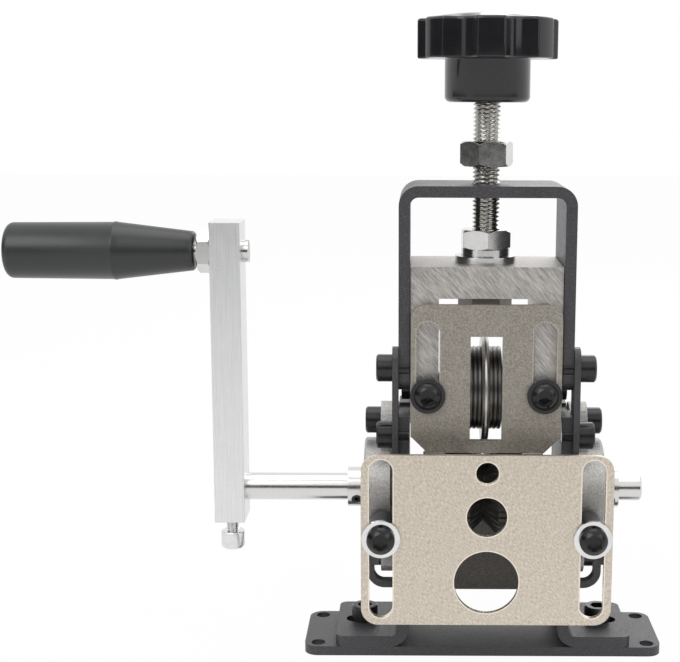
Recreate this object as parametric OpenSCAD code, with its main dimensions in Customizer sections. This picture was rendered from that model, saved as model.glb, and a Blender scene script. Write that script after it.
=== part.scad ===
// Hand crank wire stripper: a bench frame with a cranked grooved roller, a round blade pressed down
// by a star knob, and slotted guide plates for the cable.
// Millimetres, +Z up, origin at the centre of the base hole pattern on the base's bottom face.
// The front, where the cable goes in, faces -Y and the crank is on -X.

/* [Base] */
// Width of the base plate
base_w = 132; // [126:1:144]
// Depth of the base plate
base_d = 35; // [34:1:40]
// Thickness of the base plate
base_t = 3.5; // [3:0.5:5]
// Corner radius of the base plate
base_corner_r = 5; // [3:0.5:6]
// Distance of the mounting holes from the ends of the base plate
base_hole_end = 5; // [5:0.5:6]
// Distance of the mounting holes from its front and back edges
base_hole_edge = 4; // [4:0.5:5.5]
// Diameter of the mounting holes
base_hole_d = 5.2; // [4.5:0.1:5.5]

/* [Frame] */
// Outer width over the two legs and over the top bracket
frame_w = 62.6; // [62.6:0.1:63.4]
// Depth of the legs and the top bracket
frame_d = 35; // [34:0.5:36]
// Sheet thickness of the legs and the top bracket
sheet_t = 4; // [3.8:0.1:4]
// Inner bend radius of the sheet
bend_r = 3; // [1.5:0.5:3.5]
// Distance from the middle to the tip of a foot
foot_reach = 54.4; // [54:0.2:56]
// Corner radius of the feet
foot_corner_r = 3; // [1:0.5:4]
// Height of the top edge of the legs
leg_top_z = 90.5; // [90.2:0.1:91]
// Inner end of the foot slot
foot_slot_in = 38; // [37:0.5:39]
// Outer end of the foot slot
foot_slot_out = 51.2; // [50.4:0.2:51.6]
// Width of the foot slot
foot_slot_w = 6.4; // [6.2:0.1:6.8]
// Distance of the foot screw from the middle
foot_screw_x = 44.2; // [43:0.2:46]
// Top face of the top bracket
frame_top_z = 172.9; // [172.8:0.1:174]
// Lower end of the top bracket's arms
arm_end_z = 99.6; // [98:0.2:101]
// Corner radius at the arm ends
arm_corner_r = 5; // [3:0.5:6]
// Width of the slot that lets the axle heads rise in the arms
head_slot_w = 10; // [9.6:0.1:11]
// Top end of that slot
head_slot_z = 115; // [114.6:0.1:116]
// Width of the notch in the top edge of the legs
leg_notch_w = 12; // [10:0.5:13]
// Depth of that notch
leg_notch_depth = 1.2; // [1:0.1:1.4]
// Thickness of the plate between the legs at the rear
rear_t = 3; // [2.5:0.1:3.4]
// Lower edge of the rear plate
rear_low_z = 13.9; // [13:0.1:15]
// Upper edge of the rear plate
rear_top_z = 46; // [44:0.2:46.6]

/* [Links] */
// Thickness of the links
link_t = 2.2; // [2:0.1:2.4]
// Width of the links
link_w = 10; // [10:0.1:10.4]
// Distance of the links' middle line in front of the frame's middle
link_y = 15; // [15:0.1:15.4]
// Height of the lower link screw
link_low_z = 83.3; // [83:0.1:84]
// Height of the upper link screw
link_high_z = 107.9; // [107:0.2:109]
// Length of the link past each screw
link_end = 7.6; // [6.4:0.2:8]
// Corner radius of the links
link_corner_r = 4; // [3:0.2:4.8]

/* [Bearings] */
// Height of the drive shaft
shaft_z = 59.6; // [59.4:0.1:60]
// Half spacing of the flange screws
flange_hole_z = 25.7; // [25.4:0.1:25.8]
// Radius of the flange tips
flange_tip_r = 7; // [6.6:0.1:7.2]
// Radius of the flange at its middle
flange_mid_r = 12.5; // [12:0.1:12.8]
// Thickness of the flange
flange_t = 6.6; // [6:0.1:7]
// Radius of the round boss
boss_r = 18.5; // [18:0.1:18.6]
// Height of the boss face over the leg
boss_h = 12.6; // [12.4:0.1:13.4]
// Distance of the boss's back face from the leg
boss_back = 3; // [2.8:0.1:3.4]
// Outer radius of the outer ring
outer_ring_r = 13; // [12.6:0.1:13.4]
// Width of the bearing races
race_w = 8; // [7:0.2:8.4]
// Distance of the race's inner side from the leg
race_gap = 3.4; // [3.2:0.1:3.6]
// Radius of the bearing balls
ball_r = 2; // [1.8:0.05:2.1]
// Number of balls in one bearing
ball_count = 8; // [6:1:9]
// Outer radius of the inner ring
inner_ring_r = 7.3; // [7:0.1:7.6]
// Distance of the inner ring's free end from the leg
inner_ring_end = 18.9; // [18.5:0.1:19.5]
// Radius of the shaft hole in the legs
leg_hole_r = 9; // [8:0.2:10]

/* [Drive] */
// Diameter of the drive shaft
shaft_d = 10; // [9.8:0.1:10.2]
// Diameter of the free shaft end
stub_d = 9.6; // [9:0.1:9.6]
// Distance of the free shaft end from the middle
stub_x = 59; // [58:0.5:62]
// Half length of the drive roller
roller_half = 22.3; // [21:0.1:24]
// Radius of the roller's rims
rim_r = 17.5; // [17:0.1:17.8]
// Radius of the roller's plain ends
hub_r = 13.5; // [12.5:0.1:14]
// Radius at the root of the V groove
groove_r = 12.3; // [12:0.1:12.6]
// Half width of the toothed rims
rim_half = 14; // [12:0.5:15]

/* [Crank] */
// Distance of the crank arm's inner face from the middle
arm_x = 88.3; // [86:0.1:92]
// Thickness of the crank arm
arm_t = 11; // [10:0.5:12]
// Depth of the crank arm
arm_d = 16; // [15:0.5:18]
// Distance between the shaft and the handle
crank_r = 88.4; // [84:0.2:92]
// Length of the arm past the handle
arm_top_end = 11; // [9:0.5:12]
// Length of the arm past the shaft
arm_low_end = 11.8; // [11:0.2:13]
// Diameter of the handle stud
stud_d = 8; // [7:0.1:8.4]
// Length of the stud's slotted end past the arm
stud_out = 2.3; // [1.5:0.1:3]
// Width across the flats of the handle nut
handle_nut_af = 14; // [13:0.5:15]
// Thickness of the handle nut
handle_nut_t = 5; // [4:0.5:6]
// Length of the grip
grip_len = 68.2; // [60:0.2:80]
// Diameter of the grip at its inner end
grip_neck_d = 14.3; // [13.6:0.1:16]
// Diameter of the grip's body next to the cone
grip_d = 20.8; // [20:0.1:20.9]
// Diameter of the ridge where the cone ends
grip_ridge_d = 21.2; // [21:0.1:22]
// Diameter of the grip at its outer end
grip_end_d = 20.3; // [19:0.1:20.6]
// Share of the grip's length that its cone takes
grip_cone_share = 0.42; // [0.4:0.01:0.5]
// Edge radius at the grip's outer end
grip_edge_r = 2.7; // [2:0.1:4]

/* [Press] */
// Width of the press block
block_w = 54.2; // [54:0.05:54.5]
// Depth of the press block
block_d = 33; // [32:0.5:34]
// Top face of the press block
block_top_z = 144.5; // [144:0.1:145]
// Lower face of the block's crossbar
bar_low_z = 133.2; // [132:0.2:135]
// Lower end of the block's legs
block_low_z = 88; // [87:0.2:90]
// Width of the space between the block's legs
block_gap_w = 34; // [33:0.5:34]
// Diameter of the press screw
rod_d = 10; // [9:0.1:10.4]
// Width across the flats of the screw's nuts
nut_af = 17; // [16.6:0.1:18]
// Bottom face of the lock nut
lock_nut_z = 179.1; // [178.6:0.1:180]
// Thickness of the lock nut
lock_nut_t = 8.9; // [8:0.1:9.2]
// Turn of the lock nut from square
lock_nut_turn = 12; // [0:1:30]
// Thickness of the nut above the block
low_nut_t = 6.9; // [6:0.1:7]
// Turn of that nut from square
low_nut_turn = 33; // [0:1:60]
// Thickness of the spring washer above the block
spring_washer_t = 2.5; // [2:0.1:2.6]
// Thickness of the flat washer above the block
flat_washer_t = 2.4; // [2:0.1:2.5]
// Outer diameter of that flat washer
flat_washer_d = 22; // [20:0.5:24]
// Thickness of the retaining nut under the crossbar
keep_nut_t = 5; // [4:0.5:6]
// Lower end of the knob's hub
knob_z = 201.7; // [201:0.1:204]
// Height of the knob's hub
knob_hub_h = 15.2; // [14:0.2:16]
// Diameter of the knob's hub
knob_hub_d = 30.5; // [29:0.5:33]
// Diameter over the knob's lobes
knob_d = 50; // [48:0.5:52]
// Height of the lobed head
knob_head_h = 14; // [13:0.5:15]
// Height of the dome on the head
knob_dome_h = 2.1; // [1.5:0.1:2.5]
// Number of lobes
knob_lobes = 7; // [6:1:8]
// Radius of the hollows between the lobes
knob_hollow_r = 7.2; // [6:0.1:8]
// Edge radius of the knob's hub
knob_edge_r = 2; // [1:0.5:3]

/* [Blade] */
// Height of the blade axle
axle_z = 97.7; // [97.2:0.1:98]
// Diameter of the blade axle
axle_d = 8; // [7.6:0.1:8.2]
// Radius of the axle's heads
axle_head_r = 4.5; // [4.3:0.1:4.6]
// Thickness of the axle's heads
axle_head_t = 3.3; // [3:0.1:3.5]
// Radius of the blade
blade_r = 20.5; // [20:0.1:20.6]
// Thickness of the blade
blade_t = 2.5; // [2:0.1:3]
// Radius of the side rollers
side_roller_r = 15.3; // [14:0.1:15.5]
// Width of one side roller
side_roller_w = 4.8; // [4.4:0.1:5.2]
// Number of ridges on a side roller
ridge_count = 3; // [2:1:4]
// Depth of the grooves between the ridges
ridge_depth = 0.4; // [0.3:0.1:1]
// Radius of the spacer sleeves beside the rollers
spacer_r = 6.5; // [5.5:0.1:7]

/* [Guard plate] */
// Width of the guard plate
guard_w = 53.8; // [53:0.1:54.2]
// Thickness of the guard plate
guard_t = 2.5; // [2:0.1:3]
// Lower edge of the guard plate
guard_low_z = 77.7; // [77.4:0.1:79]
// Upper edge of the guard plate
guard_top_z = 131.3; // [130:0.2:133]
// Radius of the upper corners
guard_corner_r = 5; // [4:0.5:7]
// Size of the lower chamfers
guard_chamfer = 6; // [4:0.5:8]
// Width of the blade window
window_w = 11.4; // [11.2:0.1:12]
// Lower end of the blade window
window_low_z = 82.2; // [81.2:0.1:82.6]
// Upper end of the blade window
window_top_z = 120; // [119.6:0.1:122]
// Distance of the slots from the middle
guard_slot_x = 20.8; // [20.6:0.1:21]
// Width of the slots
guard_slot_w = 8.2; // [7:0.1:8.4]
// Upper end of the slots
guard_slot_top_z = 125.3; // [124:0.1:126]
// Height of the screws in the slots
guard_screw_z = 98.7; // [98.5:0.1:101]

/* [Guide plate] */
// Width of the guide plate
guide_w = 88.2; // [86:0.2:90]
// Thickness of the guide plate
guide_t = 2; // [1.8:0.1:2.2]
// Distance of the front face from the middle
guide_y = 36; // [35.4:0.1:38]
// Lower edge of the guide plate
guide_low_z = 19.5; // [19.2:0.1:21]
// Upper edge of the guide plate
guide_top_z = 81.2; // [81:0.1:84]
// Corner radius
guide_corner_r = 6; // [5:0.5:7]
// Diameter of the small hole
small_hole_d = 7.9; // [7:0.1:8.2]
// Height of the small hole
small_hole_z = 74.8; // [74.4:0.1:75.2]
// Diameter of the middle hole
mid_hole_d = 14.1; // [13:0.1:14.6]
// Height of the middle hole
mid_hole_z = 59; // [58.6:0.1:59.4]
// Diameter of the large hole
large_hole_d = 22.7; // [21:0.1:23.2]
// Height of the large hole
large_hole_z = 35.2; // [34.6:0.1:35.8]
// Distance of the slots from the middle
guide_slot_x = 37.1; // [36.8:0.1:37.4]
// Width of the slots
guide_slot_w = 8.2; // [7:0.1:8.4]
// Lower end of the slots
guide_slot_low_z = 22.1; // [21.8:0.1:24]
// Upper end of the slots
guide_slot_top_z = 79.6; // [78:0.1:79.8]
// Height of the screws in the slots
guide_screw_z = 51.3; // [51:0.1:53]

/* [Guide brackets] */
// Thickness of the bent strap
strap_t = 2.6; // [2.4:0.1:2.8]
// Width of the strap
strap_w = 4; // [3.6:0.1:4.4]
// Distance of the strap's middle line in front of the frame's middle
strap_y = 16.5; // [16.4:0.1:17]
// Height of the strap's lower face
strap_z = 26.8; // [26:0.2:28.4]
// Inner bend radius of the strap
strap_bend_r = 3.8; // [3:0.1:4.2]
// Distance of the strap's outer face from the middle
strap_x = 42.6; // [42.2:0.1:43]
// Width of the lug on the strap's upper end
lug_w = 4.8; // [4.4:0.1:5.6]
// Lower face of the lug
lug_low_z = 41.2; // [40:0.2:42]
// Upper face of the lug
lug_top_z = 47.8; // [47.4:0.1:48]
// Diameter of the round post that takes the screw
post_d = 10; // [9.6:0.1:10.4]
// Gap between the post and the bearing boss
post_gap = 0.7; // [0.5:0.1:1]

/* [Fasteners] */
// Diameter of the frame screws
screw_d = 6; // [5:0.1:6]
// Diameter of their heads
screw_head_d = 9.8; // [9.2:0.1:10]
// Height of their heads
screw_head_h = 5.7; // [5:0.1:6]
// Width across the flats of their sockets
socket_af = 5; // [4:0.1:5.5]
// Depth of their sockets
socket_depth = 3; // [2:0.1:3.5]
// Diameter of the button heads on the two plates
button_d = 9.8; // [9.4:0.1:10.4]
// Height of the button heads
button_h = 3.3; // [3:0.1:3.6]
// Diameter of the small screws
small_screw_d = 5; // [4:0.1:5.2]
// Diameter of the clamp screw's head
clamp_head_d = 8.7; // [8:0.1:9]
// Height of the clamp screw's head
clamp_head_h = 6.4; // [5:0.1:7]
// Length of thread that shows under the crank arm
clamp_gap = 5.4; // [3:0.1:7]
// Diameter of the plain washers under the guard screws
guard_washer_d = 12.5; // [11:0.1:13]
// Thickness of those washers
guard_washer_t = 1.5; // [1:0.1:2]
// Diameter of the plain washers under the guide screws
guide_washer_d = 13.5; // [12:0.1:14]
// Thickness of those washers
guide_washer_t = 1.4; // [1:0.1:2]
// Diameter of the spring washers under the guide screws
spring_d = 9.9; // [9.8:0.1:11]
// Thickness of those spring washers
spring_t = 1.6; // [1.2:0.1:2]
// Depth of the guard screws' thread in the block
guard_thread = 10; // [8:0.5:10]
// Depth of the guide screws' thread in the posts
guide_thread = 10; // [8:0.5:11]

/* [Hidden] */
// Running clearance of shafts, pins and sliding faces
run_gap = 0.05;
// Overrun of cuts
cut = 1;
// Distance by which screw tips stay back from inner faces
tip_back = 0.1;
// Edge break on turned parts
edge = 0.6;
// Share of a nut's thickness that its chamfer takes
nut_bevel = 0.15;
// Height of the straight rim under a button head's dome
button_rim = 0.6;
// Width across the flats and depth of a button head's socket
button_af = 4;
button_socket = 2;
// Width of the slot in a split spring washer
split_w = 1.2;
// Depth and width of the screwdriver slot in the stud
stud_slot_w = 1.4;
stud_slot_depth = 1.2;
// Height of the chamfer on the knob's head
knob_bevel = 1.4;
// Depth of the knob's blind bore above its hub
knob_bore_h = 9;
// Turn of the ring screws from the front, downwards
ring_screw_turn = 26;
// Distance of the ring screws from the ring's free end
ring_screw_in = 3.4;
// Distance of the roller's screw from its end
roller_screw_in = 4;
// Depth of the hollow in a set screw's end
set_socket_depth = 1.2;
// Depth of the axle screw's thread
axle_screw_len = 9;
// Bevel length of the blade
blade_bevel = 1.2;
// Width of the blade's flat edge
blade_land = 0.6;
// Steps in each arc of the flange outline
arc_steps = 10;
// Thickness of the bearing seals
seal_t = 0.8;

base_hole_dx = base_w - 2 * base_hole_end;
base_hole_dy = base_d - 2 * base_hole_edge;
half_w = frame_w / 2;
inner_w = half_w - sheet_t;
foot_z = base_t + sheet_t;
bar_top_z = frame_top_z - sheet_t;
flange_x = half_w + flange_t;
boss_x = half_w + boss_h;
race_x = half_w + race_gap;
ring_x = half_w + inner_ring_end;
ball_ring_r = inner_ring_r + run_gap + ball_r;
race_inner_r = ball_ring_r + ball_r + run_gap;
arm_out_x = arm_x + arm_t;
nut_out_x = arm_out_x + handle_nut_t;
grip_in_x = nut_out_x + 2 * edge;
grip_out_x = grip_in_x + grip_len;
handle_z = shaft_z + crank_r;
arm_low_z = shaft_z - arm_low_end;
arm_top_z = handle_z + arm_top_end;
shaft_r = shaft_d / 2;
rod_r = rod_d / 2;
axle_r = axle_d / 2;
stud_r = stud_d / 2;
screw_r = screw_d / 2;
small_r = small_screw_d / 2;
washer_top_z = block_top_z + run_gap + flat_washer_t;
spring_top_z = washer_top_z + spring_washer_t;
low_nut_top_z = spring_top_z + low_nut_t;
keep_nut_z = bar_low_z - run_gap - keep_nut_t;
knob_head_z = knob_z + knob_hub_h;
knob_top_z = knob_head_z + knob_head_h;
guard_back_y = block_d / 2 + run_gap;
guard_front_y = guard_back_y + guard_t;
guard_slot_low_z = guard_screw_z - guard_slot_w / 2;
guide_back_y = guide_y - guide_t;
post_front_y = guide_back_y - run_gap;
post_back_y = boss_r + post_gap;
blade_side = blade_t / 2;
groove_half = rim_r - groove_r;

$fn = 64;

// Right side as drawn, left side mirrored
module on_side(s) {
    if (s > 0) children();
    else mirror([1, 0, 0]) children();
}

// Turns a piece drawn along +Z to point along +X, -Y or +Y
module along_x() { rotate([0, 90, 0]) children(); }
module to_front() { rotate([90, 0, 0]) children(); }

module rounded_rect(w, h, r) {
    square([w - 2 * r, h], center = true);
    square([w, h - 2 * r], center = true);
    for (x = [-1, 1], y = [-1, 1]) translate([x * (w / 2 - r), y * (h / 2 - r)]) circle(r = r);
}

// Slot along X between two end distances, drawn in plan
module slot_2d(a, b, w) {
    translate([a + w / 2, -w / 2]) square([b - a - w, w]);
    for (x = [a + w / 2, b - w / 2]) translate([x, 0]) circle(d = w);
}

// Corner of a bent sheet: a quarter of a ring, its centre at the origin
module bend_2d(r, t) {
    intersection() {
        difference() {
            circle(r = r + t);
            circle(r = r);
        }
        translate([-r - t, -r - t]) square([r + t, r + t]);
    }
}

// Material outside a quarter round, drawn towards +X +Y and used to round corners off
module corner_2d(r) {
    difference() {
        square([r + cut, r + cut]);
        circle(r = r);
    }
}

// Socket head screw: the head stands on Z = 0 and the shank points down
module cap_screw(r, len, head_r, head_h, af) {
    difference() {
        union() {
            translate([0, 0, -len]) cylinder(r = r, h = len + head_h / 2);
            cylinder(r = head_r, h = head_h - edge);
            translate([0, 0, head_h - edge])
                cylinder(r1 = head_r, r2 = head_r - edge, h = edge, $fn = 64);
        }
        translate([0, 0, head_h - socket_depth])
            cylinder(d = af / cos(30), h = socket_depth + cut, $fn = 6);
    }
}

// Button head screw, placed like the socket head screw: a straight rim and a spherical dome
module button_screw(r, len) {
    rise = button_h - button_rim;
    dome_r = (button_d * button_d / 4 + rise * rise) / (2 * rise);
    low = asin(button_d / 2 / dome_r);
    steps = 8;
    dome = [for (i = [0:steps]) let (a = low * (1 - i / steps))
        [dome_r * sin(a), button_h - dome_r + dome_r * cos(a)]];
    difference() {
        rotate_extrude() polygon(concat([[0, -len], [r, -len], [r, 0], [button_d / 2, 0]], dome));
        translate([0, 0, button_h - button_socket])
            cylinder(d = button_af / cos(30), h = button_socket + cut, $fn = 6);
    }
}

module frame_screw(len) { cap_screw(screw_r, len, screw_head_d / 2, screw_head_h, socket_af); }

// Hexagon nut between Z = 0 and its thickness, with its corners turned off at both ends
module hex_nut(af, t, bore_r) {
    bevel = nut_bevel * t;
    difference() {
        intersection() {
            cylinder(d = af / cos(30), h = t, $fn = 6);
            union() {
                cylinder(d1 = af, d2 = af / cos(30) + edge, h = bevel);
                translate([0, 0, bevel]) cylinder(d = af / cos(30) + edge, h = t - 2 * bevel);
                translate([0, 0, t - bevel]) cylinder(d1 = af / cos(30) + edge, d2 = af, h = bevel);
            }
        }
        translate([0, 0, -cut]) cylinder(r = bore_r, h = t + 2 * cut);
    }
}

module ring(outer_r, inner_r, t) {
    difference() {
        cylinder(r = outer_r, h = t);
        translate([0, 0, -cut]) cylinder(r = inner_r, h = t + 2 * cut);
    }
}

// Split spring washer, its slot towards +Y
module split_ring(outer_r, inner_r, t) {
    difference() {
        ring(outer_r, inner_r, t);
        translate([-split_w / 2, 0, -cut]) cube([split_w, outer_r + cut, t + 2 * cut]);
    }
}

module set_screw(r, len) {
    difference() {
        cylinder(r = r, h = len);
        translate([0, 0, len - set_socket_depth]) cylinder(r = r / 2, h = set_socket_depth + cut, $fn = 6);
    }
}

module base_plate() {
    color([0.22, 0.22, 0.23]) difference() {
        linear_extrude(base_t) rounded_rect(base_w, base_d, base_corner_r);
        for (x = [-1, 1], y = [-1, 1])
            translate([x * base_hole_dx / 2, y * base_hole_dy / 2, -cut])
                cylinder(d = base_hole_d, h = base_t + 2 * cut);
        for (x = [-1, 1])
            translate([x * foot_screw_x, 0, -cut]) cylinder(r = screw_r, h = base_t + 2 * cut);
    }
}

// Leg and foot from one bent sheet, the foot turned outwards
module leg() {
    difference() {
        translate([0, frame_d / 2, 0]) to_front() linear_extrude(frame_d) {
            translate([inner_w, foot_z + bend_r]) square([sheet_t, leg_top_z - foot_z - bend_r]);
            translate([half_w + bend_r, base_t]) square([foot_reach - half_w - bend_r, sheet_t]);
            translate([half_w + bend_r, foot_z + bend_r]) bend_2d(bend_r, sheet_t);
        }
        translate([0, 0, base_t - cut]) linear_extrude(sheet_t + 2 * cut)
            slot_2d(foot_slot_in, foot_slot_out, foot_slot_w);
        for (y = [-1, 1]) scale([1, y, 1])
            translate([foot_reach - foot_corner_r, frame_d / 2 - foot_corner_r, base_t - cut])
                linear_extrude(sheet_t + 2 * cut) corner_2d(foot_corner_r);
        translate([inner_w - cut, 0, shaft_z]) along_x() cylinder(r = leg_hole_r, h = sheet_t + 2 * cut);
        for (z = [-1, 1]) translate([inner_w - cut, 0, shaft_z + z * flange_hole_z])
            along_x() cylinder(r = screw_r, h = sheet_t + 2 * cut);
        translate([inner_w - cut, -link_y, link_low_z]) along_x()
            cylinder(r = screw_r, h = sheet_t + 2 * cut);
        translate([inner_w - cut, -leg_notch_w / 2, leg_top_z - leg_notch_depth])
            cube([sheet_t + 2 * cut, leg_notch_w, leg_notch_depth + cut]);
    }
}

module left_leg() { color([0.2, 0.2, 0.21]) on_side(-1) leg(); }
module right_leg() { color([0.2, 0.2, 0.21]) on_side(1) leg(); }

// Plate that ties the legs together at the rear, below the roller
module rear_plate() {
    color([0.2, 0.2, 0.21]) translate([-inner_w, frame_d / 2 - rear_t, rear_low_z])
        cube([2 * inner_w, rear_t, rear_top_z - rear_low_z]);
}

module foot_screws() {
    color([0.12, 0.12, 0.12]) for (s = [-1, 1]) on_side(s)
        translate([foot_screw_x, 0, foot_z]) frame_screw(foot_z);
}

module top_bracket() {
    corner = bend_r + sheet_t;
    color([0.2, 0.2, 0.21]) difference() {
        translate([0, frame_d / 2, 0]) to_front() linear_extrude(frame_d) {
            translate([corner - half_w, bar_top_z]) square([frame_w - 2 * corner, sheet_t]);
            for (s = [-1, 1]) scale([s, 1]) {
                translate([inner_w, arm_end_z]) square([sheet_t, frame_top_z - corner - arm_end_z]);
                translate([half_w - corner, frame_top_z - corner]) rotate(180) bend_2d(bend_r, sheet_t);
            }
        }
        translate([0, 0, bar_top_z - cut]) cylinder(r = rod_r + run_gap, h = sheet_t + 2 * cut);
        for (s = [-1, 1]) on_side(s) {
            translate([inner_w - cut, -link_y, link_high_z]) along_x()
                cylinder(r = screw_r, h = sheet_t + 2 * cut);
            translate([inner_w - cut, -head_slot_w / 2, arm_end_z - cut])
                cube([sheet_t + 2 * cut, head_slot_w, head_slot_z - head_slot_w / 2 - arm_end_z + cut]);
            translate([inner_w - cut, 0, head_slot_z - head_slot_w / 2]) along_x()
                cylinder(d = head_slot_w, h = sheet_t + 2 * cut);
            for (y = [-1, 1]) scale([1, y, 1])
                translate([inner_w - cut, frame_d / 2 - arm_corner_r, arm_end_z + arm_corner_r])
                    along_x() linear_extrude(sheet_t + 2 * cut) corner_2d(arm_corner_r);
        }
    }
}

module link() {
    mid_z = (link_low_z + link_high_z) / 2;
    len = link_high_z - link_low_z + 2 * link_end;
    difference() {
        translate([half_w, -link_y, mid_z]) along_x()
            linear_extrude(link_t) rounded_rect(len, link_w, link_corner_r);
        for (z = [link_low_z, link_high_z]) translate([half_w - cut, -link_y, z]) along_x()
            cylinder(r = screw_r, h = link_t + 2 * cut);
    }
}

module left_link() { color([0.18, 0.18, 0.19]) on_side(-1) link(); }
module right_link() { color([0.18, 0.18, 0.19]) on_side(1) link(); }

module link_screws() {
    color([0.12, 0.12, 0.12]) for (s = [-1, 1], z = [link_low_z, link_high_z]) on_side(s)
        translate([half_w + link_t, -link_y, z]) along_x() frame_screw(link_t + sheet_t - tip_back);
}

// Points along an arc about a centre on the X axis
function arc_points(x, r, from, to) = [for (i = [0:arc_steps])
    let (a = from + (to - from) * i / arc_steps) [x + r * cos(a), r * sin(a)]];

// Diamond outline of the bearing flange: three circles and their common tangents
module flange_2d() {
    lean = acos((flange_mid_r - flange_tip_r) / flange_hole_z);
    polygon(concat(
        arc_points(flange_hole_z, flange_tip_r, -lean, lean),
        arc_points(0, flange_mid_r, lean, 180 - lean),
        arc_points(-flange_hole_z, flange_tip_r, 180 - lean, 180 + lean),
        arc_points(0, flange_mid_r, 180 + lean, 360 - lean)));
}

module housing() {
    difference() {
        translate([half_w, 0, shaft_z]) along_x() {
            linear_extrude(flange_t) flange_2d();
            translate([0, 0, boss_back]) cylinder(r = boss_r, h = boss_h - boss_back - edge);
            translate([0, 0, boss_h - edge]) cylinder(r1 = boss_r, r2 = boss_r - edge, h = edge);
        }
        translate([race_x, 0, shaft_z]) along_x() cylinder(r = outer_ring_r, h = boss_h);
        translate([half_w - cut, 0, shaft_z]) along_x()
            cylinder(r = race_inner_r, h = race_gap + 2 * cut);
        for (z = [-1, 1]) translate([half_w - cut, 0, shaft_z + z * flange_hole_z]) along_x()
            cylinder(r = screw_r, h = flange_t + 2 * cut);
    }
}

module left_bearing_housing() { color([0.62, 0.61, 0.6]) on_side(-1) housing(); }
module right_bearing_housing() { color([0.62, 0.61, 0.6]) on_side(1) housing(); }

module bearing_outer_rings() {
    color([0.5, 0.5, 0.5]) for (s = [-1, 1]) on_side(s)
        translate([race_x, 0, shaft_z]) along_x() ring(outer_ring_r, race_inner_r, race_w);
}

module bearing_balls() {
    color([0.75, 0.75, 0.76]) for (s = [-1, 1]) on_side(s)
        translate([race_x + race_w / 2, 0, shaft_z]) along_x()
            for (i = [0:ball_count - 1]) rotate(i * 360 / ball_count)
                translate([ball_ring_r, 0, 0]) sphere(r = ball_r);
}

module bearing_seals() {
    color([0.1, 0.1, 0.1]) for (s = [-1, 1]) on_side(s)
        translate([race_x + race_w, 0, shaft_z]) along_x()
            ring(outer_ring_r, inner_ring_r + run_gap, seal_t);
}

module inner_ring() {
    difference() {
        translate([race_x, 0, shaft_z]) along_x() ring(inner_ring_r, shaft_r, ring_x - race_x);
        translate([ring_x - ring_screw_in, 0, shaft_z]) rotate([90 + ring_screw_turn, 0, 0])
            cylinder(r = small_r / 2 + screw_r / 4, h = inner_ring_r + cut);
    }
}

module left_inner_ring() { color([0.72, 0.72, 0.73]) on_side(-1) inner_ring(); }
module right_inner_ring() { color([0.72, 0.72, 0.73]) on_side(1) inner_ring(); }

module ring_set_screws() {
    color([0.12, 0.12, 0.12]) for (s = [-1, 1]) on_side(s)
        translate([ring_x - ring_screw_in, 0, shaft_z]) rotate([90 + ring_screw_turn, 0, 0])
            translate([0, 0, shaft_r])
                set_screw(small_r / 2 + screw_r / 4, inner_ring_r - shaft_r - edge / 2);
}

module flange_screws() {
    color([0.12, 0.12, 0.12]) for (s = [-1, 1], z = [-1, 1]) on_side(s)
        translate([flange_x, 0, shaft_z + z * flange_hole_z]) along_x()
            frame_screw(flange_t + sheet_t - tip_back);
}

module drive_shaft() {
    color([0.75, 0.75, 0.76]) translate([0, 0, shaft_z]) along_x() {
        translate([0, 0, -arm_out_x]) cylinder(r = shaft_r, h = arm_out_x + ring_x);
        translate([0, 0, ring_x]) cylinder(d = stub_d, h = stub_x - ring_x - edge);
        translate([0, 0, stub_x - edge]) cylinder(d1 = stub_d, d2 = stub_d - 2 * edge, h = edge);
    }
}

module drive_roller() {
    groove_x = groove_half;
    color([0.2, 0.2, 0.2]) difference() {
        translate([0, 0, shaft_z]) along_x() rotate_extrude() polygon([
            [shaft_r, -roller_half], [hub_r, -roller_half], [hub_r, -rim_half], [rim_r, -rim_half],
            [rim_r, -groove_x], [groove_r, 0], [rim_r, groove_x], [rim_r, rim_half],
            [hub_r, rim_half], [hub_r, roller_half], [shaft_r, roller_half]]);
        translate([roller_half - roller_screw_in, 0, shaft_z]) to_front()
            cylinder(r = small_r, h = hub_r + cut);
    }
}

module roller_set_screw() {
    color([0.12, 0.12, 0.12]) translate([roller_half - roller_screw_in, -shaft_r, shaft_z])
        to_front() set_screw(small_r, hub_r - shaft_r - edge);
}

module crank_arm() {
    color([0.8, 0.8, 0.81]) difference() {
        translate([-arm_out_x, -arm_d / 2, arm_low_z]) cube([arm_t, arm_d, arm_top_z - arm_low_z]);
        translate([-arm_out_x - cut, 0, shaft_z]) along_x() cylinder(r = shaft_r, h = arm_t + 2 * cut);
        translate([-arm_out_x - cut, 0, handle_z]) along_x() cylinder(r = stud_r, h = arm_t + 2 * cut);
        translate([-arm_x - arm_t / 2, 0, arm_low_z - cut]) cylinder(r = small_r, h = arm_low_end + cut);
    }
}

module crank_clamp_screw() {
    color([0.75, 0.75, 0.76]) translate([-arm_x - arm_t / 2, 0, arm_low_z - clamp_gap])
        mirror([0, 0, 1]) cap_screw(small_r, arm_low_end + clamp_gap - shaft_r, clamp_head_d / 2,
            clamp_head_h, socket_af * small_screw_d / screw_d);
}

module handle_stud() {
    len = stud_out + arm_t + handle_nut_t + grip_len - grip_d / 2;
    color([0.7, 0.7, 0.71]) translate([-arm_x + stud_out, 0, handle_z]) mirror([1, 0, 0]) difference() {
        along_x() cylinder(r = stud_r, h = len);
        translate([-cut, -stud_slot_w / 2, -stud_d])
            cube([stud_slot_depth + cut, stud_slot_w, 2 * stud_d]);
    }
}

module handle_nut() {
    color([0.75, 0.75, 0.76]) translate([-nut_out_x, 0, handle_z]) along_x()
        hex_nut(handle_nut_af, handle_nut_t, stud_r);
}

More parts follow.
